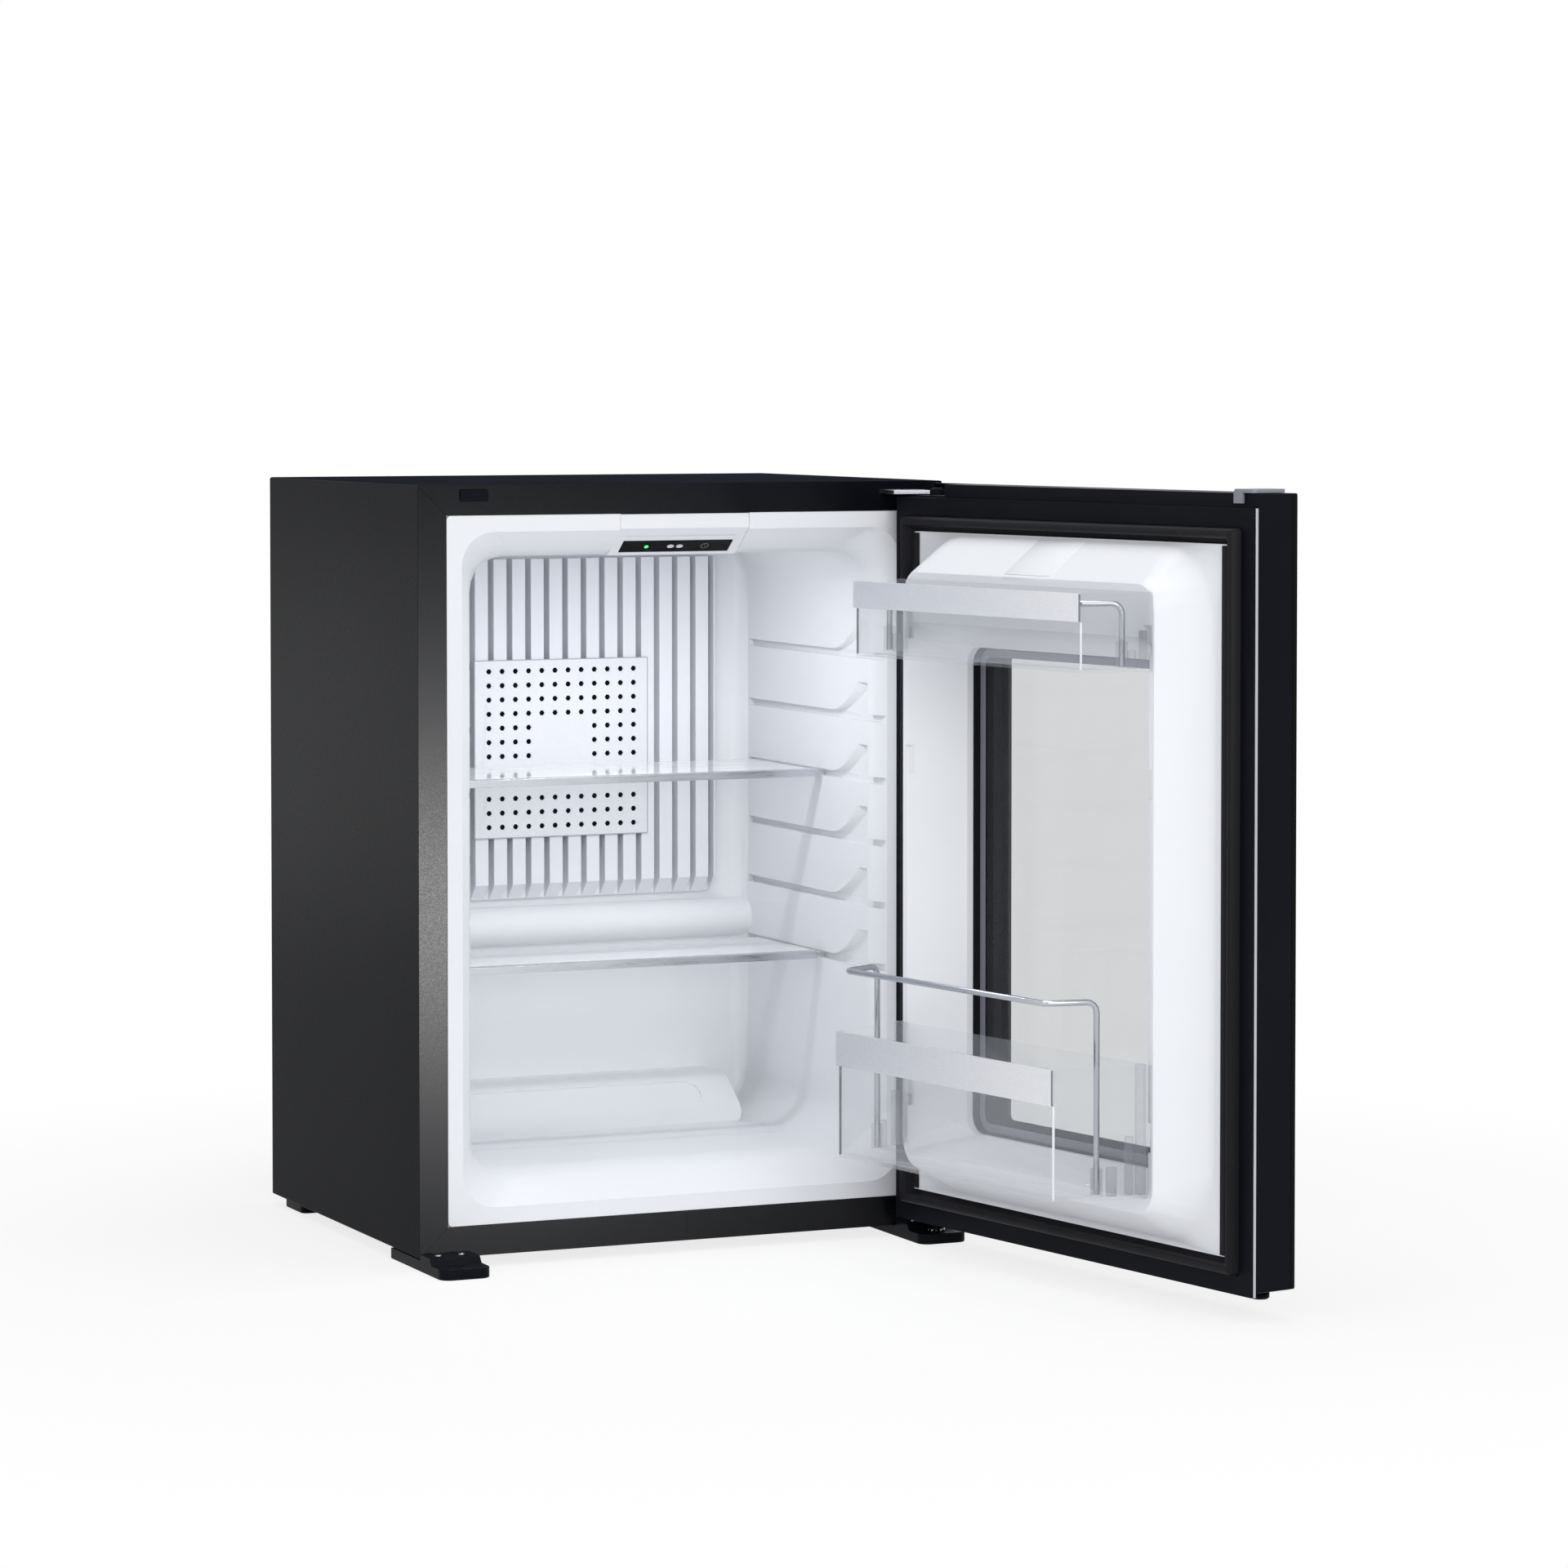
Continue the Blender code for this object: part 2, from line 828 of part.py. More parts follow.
def face_block(width, top, length, deep, proud, offset=0.0):
    """A flat block lying on the slanted face of the housing."""
    upper, lower = housing_face(top), housing_face(top + length)
    along = (lower - upper).normalized()
    out = Vector((along.y, -along.x))
    if out.x > 0:
        out = -out
    section = [upper - out * deep, lower - out * deep, lower + out * proud, upper + out * proud]
    centre = mid_x + offset
    return prism([tuple(p) for p in section], centre - width / 2, centre + width / 2, 0)


def lamp_housing(root):
    half = housing_width / 2
    body = prism(housing_section(), mid_x - half, mid_x + half, 0)
    strip_seat = face_block(strip_width + 2 * gap, strip_top_drop - gap, strip_length + 2 * gap,
                            strip_thickness + gap + board_thickness + 2 * gap, 0.003)
    groove = face_block(strip_width, strip_top_drop - strip_line_gap, 0.0018, 0.0012, 0.003)
    lens_seat = box((mid_x - half + lens_margin - gap, housing_reach + 0.002, cavity_ceiling - 0.004),
                    (mid_x + half - lens_margin + gap, housing_reach + 0.010, cavity_ceiling + lens_height))
    return place("lamp_housing", minus(body, strip_seat, groove, lens_seat), white_plastic(), root)


def control_pieces(root):
    board = face_block(strip_width - 0.004, strip_top_drop + 0.001, strip_length - 0.002,
                       strip_thickness + gap + board_thickness, -(strip_thickness + gap))
    place("control_board", board, material("green_board", (0.02, 0.20, 0.08), 0.5), root)
    strip = face_block(strip_width, strip_top_drop, strip_length, strip_thickness, 0.0)
    light_offset = -light_from_middle
    window = face_block(2 * light_radius + 2 * gap, strip_top_drop + strip_length / 2 - light_radius - gap,
                        2 * light_radius + 2 * gap, strip_thickness * 2, 0.003, light_offset)
    place("control_strip", minus(strip, window), black_glass(), root)
    lamp = face_block(2 * light_radius, strip_top_drop + strip_length / 2 - light_radius,
                      2 * light_radius, strip_thickness, 0.0, light_offset)
    place("status_light", lamp, green_light(), root)
    half = housing_width / 2 - lens_margin
    base = cavity_ceiling - 0.0015
    lens = box((mid_x - half, housing_reach + 0.002 + gap, base),
               (mid_x + half, housing_reach + 0.010 - gap, cavity_ceiling + lens_height - gap))
    place("lamp_lens", lens, material("lamp_lens", (0.95, 0.96, 1.0), 0.3), root)


# Insulation of the cabinet

def evaporator_route(extra_back=0.0):
    (x, high), (_, low) = pipe_places()
    right = mid_x + evaporator_pipe_half
    depth = cavity_depth + liner_wall + evaporator_pipe_radius + 0.006
    back = panel_back + unit_depth - unit_pipe_radius - gap + extra_back
    return bent_path([(x, back, high), (x, depth, high), (right, depth, high),
                      (right, depth, low), (x, depth, low), (x, back, low)], 0.018, 4)


def foam_insulation(root):
    low = sheet + gap
    block = box((low, low, low), (cabinet_width - low, panel_back - sheet - gap, cabinet_height - low))
    hollow = [liner_ring(*row) for row in liner_back(gap)]
    first = hollow[0]
    mouth = [(p[0], -0.002, p[2]) for p in first]
    hollow = loft([mouth] + hollow)
    channel = rod(evaporator_route(0.010), evaporator_pipe_radius + gap, 8)
    lip = housing_space(2 * gap)
    tail_x = cabinet_width - hinge_neck_centre
    pockets = [hinge_slot(tail_x, -sheet, hinge_tail + slide_gap),
               hinge_slot(hinge_neck_centre, -sheet, hinge_tail / 2)]
    return place("foam_insulation", minus(block, hollow, channel, lip, *pockets), foam(), root)


# Evaporator

def evaporator(root):
    widths = [first_tooth_width] + [tooth_width] * tooth_count + [last_tooth_width]
    width = sum(widths) + (len(widths) - 1) * slot_width
    left = mid_x - width / 2
    back = cavity_depth - gap
    base = back - evaporator_base
    front = base - tooth_depth
    top = cavity_ceiling - evaporator_top_gap
    rings = []
    for z, tips in ((evaporator_bottom, base - 0.001), (evaporator_bottom + tooth_depth, front), (top, front)):
        ring = [(left, back, z)]
        x = left
        for i, wide in enumerate(widths):
            ring += [(x, tips, z), (x + wide, tips, z)]
            if i < len(widths) - 1:
                ring += [(x + wide, base, z), (x + wide + slot_width, base, z)]
            x += wide + slot_width
        ring.append((left + width, back, z))
        rings.append(ring)
    place("evaporator_fins", loft(rings), white_metal(), root)
    plate_back = front - gap
    plate = box((mid_x - cover_width / 2, plate_back - cover_thickness, cover_bottom),
                (mid_x + cover_width / 2, plate_back, cover_bottom + cover_height))
    holes = []
    reach = (cover_rows - 1) / 2
    for row in range(cover_rows):
        for column in range(cover_rows):
            if row in (4, 5, 6, 7) and column in (4, 5, 6, 7):
                continue
            x = mid_x + (column - reach) * cover_hole_pitch
            z = cover_bottom + cover_height / 2 + (row - reach) * cover_hole_pitch
            holes.append(cylinder((x, z), cover_hole_radius, plate_back - 3 * cover_thickness,
                                  plate_back + cover_thickness, 1, 6))
    place("perforated_cover", minus(plate, join_apart(holes)), white_metal(), root)


def join_apart(meshes):
    """One mesh of several bodies that don't touch."""
    work = bmesh.new()
    for mesh in meshes:
        work.from_mesh(mesh)
    mesh = bpy.data.meshes.new("group")
    work.to_mesh(mesh)
    work.free()
    return mesh


# Shelves

def shelf(root, name, groove, depth):
    low = groove_first + groove * groove_pitch + gap
    side = cavity_side - groove_inset + slide_gap + 0.002
    carrier = empty(name + "_slide", (mid_x, shelf_front, low), root)

    def at(x, y, z):
        return (x - mid_x, y - shelf_front, z - low)
    glass = rounded_box(at(side, shelf_front + trim_wall + gap, low),
                        at(cabinet_width - side, shelf_front + depth, low + glass_shelf_thickness),
                        0.004, 2)
    place(name + "_glass", glass, clear_glass(), carrier)
    trim_low = low - (trim_height - glass_shelf_thickness) / 2
    inner_low, inner_high = low - gap, low + glass_shelf_thickness + gap
    left, right = cavity_side + trim_side_gap, cabinet_width - cavity_side - trim_side_gap
    back = shelf_front + trim_depth
    channel = [(shelf_front, trim_low), (back, trim_low), (back, inner_low),
               (shelf_front + trim_wall, inner_low), (shelf_front + trim_wall, inner_high),
               (back, inner_high), (back, trim_low + trim_height), (shelf_front, trim_low + trim_height)]
    channel = [(y - shelf_front, z - low) for y, z in channel]
    trim = prism(channel, left - mid_x, right - mid_x, 0)
    place(name + "_trim", trim, brushed_metal(), carrier)


# Feet

def front_foot(root, name, mirrored):
    width = 2 * axis_from_side
    sole = -foot_height
    pad_top = -foot_pad_drop
    side = [(foot_back, sole), (foot_back, -gap), (-gap, -gap), (-gap, foot_block_rise),
            (-foot_block_reach, foot_block_rise), (-foot_block_reach - foot_riser_run, pad_top),
            (-foot_reach, pad_top), (-foot_reach, sole)]
    body = prism(side, 0, width, 0)
    trim_front = rounded_outline([(0, -foot_reach), (width, -foot_reach), (width, foot_back + foot_corner),
                                  (0, foot_back + foot_corner)], foot_corner, 5)
    outline = prism(trim_front, sole - 0.001, foot_block_rise + 0.001, 2)
    body = combine(body, outline, "INTERSECT")
    body = minus(body, cylinder((axis_from_side, hinge_y), hinge_pin_radius + gap, sole - 0.001,
                                pad_top + 0.001, 2, small_round_steps))
    for place_x in foot_screw_places():
        body = minus(body, cylinder((place_x, -foot_block_reach / 2), foot_screw_radius + gap,
                                    sole + 0.003, foot_block_rise + 0.001, 2, small_round_steps))
    if mirrored:
        body = mirror_mesh(body)
    place(name, body, black_plastic(), root)


def foot_screw_places():
    return [axis_from_side - foot_screw_spacing / 2, axis_from_side + foot_screw_spacing / 2]


def mirror_mesh(mesh):
    work = bmesh.new()
    work.from_mesh(mesh)
    for vert in work.verts:
        vert.co.x = cabinet_width - vert.co.x
    bmesh.ops.reverse_faces(work, faces=work.faces)
    work.to_mesh(mesh)
    work.free()
    return mesh


def foot_screws(root):
    number = 0
    for mirrored in (False, True):
        for place_x in foot_screw_places():
            number += 1
            x = cabinet_width - place_x if mirrored else place_x
            low = -foot_height + 0.003 + gap
            head = foot_block_rise
            profile = [(foot_screw_radius * 0.8, low), (foot_screw_radius, low + 0.001),
                       (foot_screw_radius, head), (foot_screw_radius * 0.8, head + 0.0006)]
            screw = turned(profile, (x, -foot_block_reach / 2), small_round_steps)
            place("foot_screw_%d" % number, screw, bright_steel(), root)


def rear_feet(root):
    back = cabinet_depth - 0.010
    for name, left in (("rear_foot_left", rear_foot_inset),
                       ("rear_foot_right", cabinet_width - rear_foot_inset - rear_foot_width)):
        body = rounded_box((left, back - rear_foot_length, -foot_height), (left + rear_foot_width, back, -gap),
                           0.005, 2)
        place(name, body, black_plastic(), root)


# Upper hinge parts on the cabinet

def top_hinge(root):
    low, high = hinge_plate_low, hinge_plate_low + hinge_plate_thickness
    neck = cabinet_width - hinge_neck_centre
    half = hinge_neck_width / 2
    right = hinge_x - 0.003
    outline = [(neck + half, hinge_tail), (neck - half, hinge_tail), (neck - half, hinge_y + 0.008)]
    for i in range(small_round_steps + 1):
        angle = math.radians(-125) + math.radians(185) * i / small_round_steps
        outline.append((hinge_x + hinge_eye_radius * math.cos(angle), hinge_y + hinge_eye_radius * math.sin(angle)))
    outline += [(right, -0.016), (right, -0.004), (neck + half, -0.002)]
    plate = prism(list(reversed(outline)), low, high, 2)
    plate = minus(plate, cylinder((hinge_x, hinge_y), hinge_pin_radius + gap, low - 0.001, high + 0.001, 2,
                                  small_round_steps))
    place("top_hinge_plate", plate, grey_metal(), root)
    bottom = border_top - bush_length + 0.003
    profile = [(hinge_pin_radius * 0.8, bottom), (hinge_pin_radius, bottom + 0.001),
               (hinge_pin_radius, high + gap), (pin_head_radius, high + gap),
               (pin_head_radius, high + 0.0010), (pin_head_radius - 0.0006, high + 0.0014)]
    place("top_hinge_pin", turned(profile, (hinge_x, hinge_y), small_round_steps), bright_steel(), root)
    cover_low = hinge_plate_low + hinge_plate_thickness / 2 - slot_cover_height / 2
    face = rounded_box((hinge_neck_centre - slot_cover_width / 2, -gap - slot_cover_thickness, cover_low),
                       (hinge_neck_centre + slot_cover_width / 2, -gap, cover_low + slot_cover_height),
                       0.001, 1, 2)
    stem = box((hinge_neck_centre - half, -gap - slot_cover_thickness / 2, low),
               (hinge_neck_centre + half, hinge_tail / 3, high))
    place("hinge_slot_cover", plus(face, stem), black_plastic(), root)


def lower_hinge_pin(root):
    pad_top = -foot_pad_drop
    top = door_body_bottom + bush_length - 0.003
    profile = [(hinge_pin_radius * 0.8, -foot_height + 0.001), (hinge_pin_radius, -foot_height + 0.002),
               (hinge_pin_radius, pad_top + gap), (bush_flange_radius, pad_top + gap),
               (bush_flange_radius, pad_top + gap + 0.002), (hinge_pin_radius, pad_top + gap + 0.002),
               (hinge_pin_radius, top - 0.001), (hinge_pin_radius * 0.8, top)]
    place("lower_hinge_pin", turned(profile, (hinge_x, hinge_y), small_round_steps), bright_steel(), root)
    return pad_top + gap + 0.002


# Door, drawn closed. A point of the door is named by its inset from the edge of the door's border
# and by its rise k from the plane of the border towards the cavity.

def door_x(inset_from_hinge):
    return cabinet_width - inset_from_hinge


def rise(k):
    return door_plane + k


def door_ring(inset, low, high, k, radius, steps=corner_steps):
    return rectangle(inset, cabinet_width - inset, low, high, rise(k), radius, steps)


def in_door(mesh):
    """Move a mesh drawn in the cabinet's frame to the frame of the hinge axis."""
    mesh.transform(Matrix.Translation((-hinge_x, -hinge_y, 0)))
    return mesh


def door_piece(door, name, mesh, finish):
    return place(name, in_door(mesh), finish, door)


def glass_back():
    return -(door_thickness - outer_glass)


def door_outer_frame(door):
    body = rounded_box((0, rise(glass_back() + gap), door_body_bottom),
                       (cabinet_width, rise(-border_thickness), door_body_top), edge_radius, 1, 2)
    border = box((0, rise(-border_thickness - 0.001), border_bottom), (cabinet_width, rise(0), border_top))
    trim_seat = box((-0.001, rise(-edge_trim_low - gap), border_bottom - 0.001),
                    (edge_trim_thickness + gap, rise(-edge_trim_high + gap), border_top + 0.001))
    member = frame_member
    opening = box((member, rise(glass_back() - 0.001), border_bottom + member),
                  (cabinet_width - member, rise(0.001), border_top - member))
    groove = box((border_width, rise(-gasket_seat), border_bottom + border_width),
                 (cabinet_width - border_width, rise(0.001), border_top - border_width))
    recess = box((cabinet_width - recess_length, rise(glass_back() - 0.001), border_top + 0.0015),
                 (cabinet_width + 0.001, rise(0.001), door_body_top + 0.001))
    holes = []
    for x in (axis_from_side, cabinet_width - axis_from_side):
        holes.append(cylinder((x, hinge_y), bush_radius + gap, border_top - bush_length, door_body_top + 0.001, 2,
                              small_round_steps))
        holes.append(cylinder((x, hinge_y), bush_radius + gap, border_bottom - 0.001,
                              door_body_bottom + bush_length, 2, small_round_steps))
    frame = minus(plus(body, border), trim_seat, opening, groove, recess, *holes)
    door_piece(door, "door_outer_frame", frame, black_plastic())
    trim = box((0, rise(-edge_trim_low), border_bottom), (edge_trim_thickness, rise(-edge_trim_high), border_top))
    door_piece(door, "door_edge_trim", trim, brushed_metal())


def door_glazing(door):
    front = rounded_box((0, rise(-door_thickness), door_body_bottom),
                        (cabinet_width, rise(glass_back()), door_body_top), edge_radius, 1, 2)
    door_piece(door, "front_glass", front, tinted_glass())
    lap = inner_glass_lap
    pane = rounded_box((window_inset - lap, rise(-inner_glass_back), window_low - lap),
                       (cabinet_width - window_inset + lap, rise(-inner_glass_back + inner_glass),
                        window_high + lap), pane_corner, 1)
    door_piece(door, "inner_glass", pane, clear_glass())
    edge = 0.0005
    rings = []
    low_k, high_k = glass_back() + gap, -inner_glass_back - gap
    for inset, k in ((edge + spacer_width, low_k), (edge + spacer_width, high_k), (edge, high_k), (edge, low_k)):
        rings.append(door_ring(window_inset - inset, window_low - inset, window_high + inset, k, spacer_corner))
    door_piece(door, "glass_spacer", loft(rings, closed=True), brushed_metal())


def door_line(name):
    """Side inset, lower height and upper height of a line of the door liner's form."""
    lines = {
        "rim": (rim_inset, border_bottom + rim_inset, border_top - rim_inset),
        "foot": (foot_inset, foot_low, foot_high),
        "ridge": (ridge_inset, ridge_low, ridge_high),
        "inner": (ridge_inset + ridge_width, ridge_inner_low, ridge_inner_high),
        "window": (window_inset, window_low, window_high),
    }
    return lines[name]


def line_ring(name, offset, k, radius):
    inset, low, high = door_line(name)
    return door_ring(inset + offset, low + offset, high - offset, k, radius)


def liner_door(door):
    wall = door_liner_wall
    glass_face = -inner_glass_back + inner_glass + gap
    rings = [
        line_ring("rim", 0, -rim_rise, 0.003), line_ring("rim", 0, rim_rise, 0.003),
        line_ring("foot", 0, rim_rise + 0.0005, 0.050),
        line_ring("ridge", 0, ridge_rise - 0.002, ridge_corner),
        line_ring("ridge", 0.002, ridge_rise, ridge_corner), line_ring("inner", 0, ridge_rise, inner_corner),
        line_ring("inner", 0.0015, ridge_rise - 0.0015, inner_corner),
        line_ring("window", -0.0015, 0.0015, 0.013),
        line_ring("window", 0, -0.001, 0.012), line_ring("window", 0, glass_face, 0.012),
        line_ring("window", -wall, glass_face, 0.013), line_ring("window", -wall, -0.002, 0.013),
        line_ring("window", -wall - 0.002, 0.0005, 0.014), line_ring("inner", -0.001, ridge_rise - ridge_wall, inner_corner),
        line_ring("ridge", wall, ridge_rise - ridge_wall, ridge_corner - wall),
        line_ring("foot", wall, 0, 0.049), line_ring("rim", wall, 0, 0.003),
        line_ring("rim", wall, -rim_rise, 0.003),
    ]
    body = smooth(loft(rings, closed=True), 40)
    catches = [ridge_block(catch_left, catch_width, low, catch_height, side, ridge_rise - catch_depth,
                           ridge_rise + 0.002)
               for low in (upper_catch_low, middle_catch_low, lower_catch_low) for side in (0, 1)]
    door_piece(door, "door_liner", minus(body, *catches), white_plastic())


def ridge_block(left, width, low, height, side, back_k, front_k):
    """A block on the liner's ridge; side 0 is the free side of the door, side 1 the hinge side."""
    right = left + width
    if side:
        left, right = cabinet_width - right, cabinet_width - left
    return box((left, rise(back_k), low), (right, rise(front_k), low + height))


def door_foam(door):
    frame = frame_member + gap
    back = glass_back() + gap
    top = -gasket_seat - gap
    side = door_liner_wall + 0.002
    glass_face = -inner_glass_back + inner_glass + gap
    pane_edge = -inner_glass_lap - gap
    spacer_edge = -0.0005 - spacer_width - gap
    rings = [
        door_ring(frame, border_bottom + frame, border_top - frame, back, 0.003),
        door_ring(frame, border_bottom + frame, border_top - frame, top, 0.003),
        line_ring("foot", side, top, 0.048),
        line_ring("ridge", side, ridge_rise - ridge_wall - 0.0015, ridge_corner - 0.003),
        line_ring("inner", -0.0025, ridge_rise - ridge_wall - 0.0015, inner_corner + 0.0015),
        line_ring("window", -side - 0.001, top, 0.015),
        line_ring("window", -side - 0.001, glass_face, 0.015), line_ring("window", pane_edge, glass_face, pane_corner),
        line_ring("window", pane_edge, -inner_glass_back - gap, pane_corner),
        line_ring("window", spacer_edge, -inner_glass_back - gap, spacer_corner),
        line_ring("window", spacer_edge, back, spacer_corner),
    ]
    door_piece(door, "door_foam", loft(rings, closed=True), foam())


def door_gasket(door):
    near, far = border_width + gap, frame_member - gap
    bulb_in, bulb_out = near + 0.0005, near + 0.0005 + gasket_bulb
    seat = -gasket_seat + gap
    outline = [(near, seat), (near, 0.001), (bulb_in, 0.002), (bulb_in, gasket_height - 0.0015),
               (bulb_in + 0.0015, gasket_height), (bulb_out - 0.0015, gasket_height),
               (bulb_out, gasket_height - 0.0015), (bulb_out, 0.002), (far, 0.001), (far, seat)]
    rings = [door_ring(inset, border_bottom + inset, border_top - inset, k, 0.002, 2) for inset, k in outline]
    door_piece(door, "door_gasket", loft(rings, closed=True), rubber())


def hinge_bushes(door, seat_height):
    bore = hinge_pin_radius + gap
    top = border_top + 0.0012
    profile = [(bush_radius, border_top - bush_length + gap), (bush_radius, top)]
    bush = turned(profile, (hinge_x, hinge_y), small_round_steps)
    hole = cylinder((hinge_x, hinge_y), bore, border_top - bush_length + 0.001, top + 0.001, 2, small_round_steps)
    door_piece(door, "upper_hinge_bush", minus(bush, hole), white_plastic())
    low = seat_height + gap
    head = border_bottom - gap
    tip = door_body_bottom + bush_length - gap
    profile = [(bush_flange_radius, low), (bush_flange_radius, head), (bush_radius, head), (bush_radius, tip)]
    bush = turned(profile, (hinge_x, hinge_y), small_round_steps)
    hole = cylinder((hinge_x, hinge_y), bore, low - 0.001, tip - 0.001, 2, small_round_steps)
    door_piece(door, "lower_hinge_bush", minus(bush, hole), black_plastic())
    plug_low = head - 0.0045
    profile = [(bush_flange_radius - 0.001, plug_low), (bush_flange_radius, plug_low + 0.001),
               (bush_flange_radius, head), (bush_radius, head), (bush_radius, tip)]
    door_piece(door, "spare_bush_plug", turned(profile, (axis_from_side, hinge_y), small_round_steps),
               black_plastic())
    over = door_body_top + gap
    plate = rounded_box((0.002, rise(glass_back() + 0.004), over),
                        (0.002 + cap_length, rise(-0.0015), over + cap_thickness), 0.003, 2)
    tab_x = axis_from_side - cap_tab_width / 2
    tab = box((tab_x, rise(-border_thickness + gap), over - cap_tab_drop),
              (tab_x + cap_tab_width, rise(-0.0015), over + cap_thickness / 2))
    stem = cylinder((axis_from_side, hinge_y), bush_radius, border_top - bush_length + gap, over + 0.001, 2,
                    small_round_steps)
    door_piece(door, "hinge_recess_cap", plus(plate, tab, stem), grey_metal())


# Bins and wires in the door

def bin_corners(front_k, front_inset):
    back_k = ridge_rise + bin_back_gap
    return [(cabinet_width - bin_inset, rise(back_k)), (cabinet_width - front_inset, rise(front_k)),
            (front_inset, rise(front_k)), (bin_inset, rise(back_k))]


def tray(corners, low, high):
    inner = inset_outline(corners, bin_wall)
    radii = [bin_back_corner, bin_front_corner, bin_front_corner, bin_back_corner]
    outer_ring = rounded_outline(corners, radii, 4)
    inner_ring = rounded_outline(inner, [r - bin_wall for r in radii], 4)
    rings = [(outer_ring, low), (outer_ring, high), (inner_ring, high), (inner_ring, low + bin_wall)]
    return smooth(loft([[(p.x, p.y, z) for p in ring] for ring, z in rings]), 40)


def sleeve(x, k, low):
    centre = (x, rise(k))
    return cylinder(centre, sleeve_radius, low + bin_wall / 2, low + bin_wall + sleeve_height, 2, small_round_steps)


def sleeve_bore(x, k, low):
    centre = (x, rise(k))
    return cylinder(centre, wire_radius + gap, low + bin_wall + 0.001, low + bin_wall + sleeve_height + 0.001, 2,
                    small_round_steps)


def door_bin(carrier, name, origin, front_k, front_inset, low, high, band, catch_low, sleeves):
    corners = bin_corners(front_k, front_inset)
    body = tray(corners, low, high)
    body = plus(body, *[sleeve(x, k, low) for x, k in sleeves])
    body = minus(body, *[sleeve_bore(x, k, low) for x, k in sleeves])
    back_k = ridge_rise + bin_back_gap
    lugs = [ridge_block(lug_left, lug_width, catch_low + gap, lug_height, side, back_k - lug_depth,
                        back_k + bin_wall / 2) for side in (0, 1)]
    body = plus(body, *lugs)
    shift = Matrix.Translation(-Vector(origin))
    body.transform(shift)
    place(name, body, clear_plastic(), carrier)
    front = rise(front_k) + gap
    strip = rounded_box((front_inset, front, high - band), (cabinet_width - front_inset, front + band_thickness,
                                                             high), 0.0004, 1, 1)
    strip.transform(shift)
    place(name + "_band", strip, brushed_metal(), carrier)


def sleeve_places_upper():
    inset = side_inset(upper_bin_front, upper_bin_front_inset, upper_wire_back) + bin_wall + sleeve_radius + gap
    return [(inset, upper_wire_back), (cabinet_width - inset, upper_wire_back)]


def side_inset(front_k, front_inset, k):
    back_k = ridge_rise + bin_back_gap
    return bin_inset + (front_inset - bin_inset) * (k - back_k) / (front_k - back_k)


def sleeve_places_lower():
    return [(rail_leg_inset, rail_leg), (cabinet_width - rail_leg_inset, rail_leg)]


def wire_route(legs, foot, top, front_k, front_inset):
    (left, k), (right, _) = legs
    return bent_path([(left, rise(k), foot), (left, rise(k), top), (front_inset, rise(front_k), top),
                      (cabinet_width - front_inset, rise(front_k), top), (right, rise(k), top),
                      (right, rise(k), foot)], wire_bend, 4)


def door_bins(door):
    bar_k = upper_bin_front - bin_wall - wire_radius - 0.001
    legs = sleeve_places_upper()
    for name, low in (("upper_bin", upper_bin_low), ("lower_bin", lower_bin_low)):
        centre = (mid_x, rise(ridge_rise + bin_back_gap), low)
        local = (centre[0] - hinge_x, centre[1] - hinge_y, centre[2])
        carrier = empty(name + "_lift", local, door)
        if name == "upper_bin":
            door_bin(carrier, name, centre, upper_bin_front, upper_bin_front_inset, low, upper_bin_high,
                     upper_band_height, upper_catch_low, legs)
            inset = side_inset(upper_bin_front, upper_bin_front_inset, bar_k) + bin_wall + wire_radius + 0.006
            route = wire_route(legs, low + bin_wall + 0.001 + gap, upper_wire_top, bar_k, inset)
            wire = rod(route, wire_radius, 8)
            wire.transform(Matrix.Translation(-Vector(centre)))
            place("upper_bin_wire", wire, bright_steel(), carrier)
        else:
            door_bin(carrier, name, centre, lower_bin_front, lower_bin_front_inset, low, lower_bin_high,
                     lower_band_height, lower_catch_low, sleeve_places_lower())
            route = wire_route(sleeve_places_lower(), low + bin_wall + 0.001 + gap, rail_height, rail_front,
                               rail_front_inset)
            rail_carrier = empty("bottle_rail_lift", (0, 0, bin_wall), carrier)
            wire = rod(route, wire_radius, 8)
            wire.transform(Matrix.Translation(-Vector(centre) - Vector((0, 0, bin_wall))))
            place("bottle_rail", wire, bright_steel(), rail_carrier)


def door_assembly(root, seat_height):
    door = empty("door_hinge", (hinge_x, hinge_y, 0), root)
    door.rotation_euler = (0, 0, open_angle)
    door_outer_frame(door)
    door_glazing(door)
    liner_door(door)
    door_foam(door)
    door_gasket(door)
    hinge_bushes(door, seat_height)
    door_bins(door)


# Cooling unit

def unit_y():
    return panel_back + unit_depth


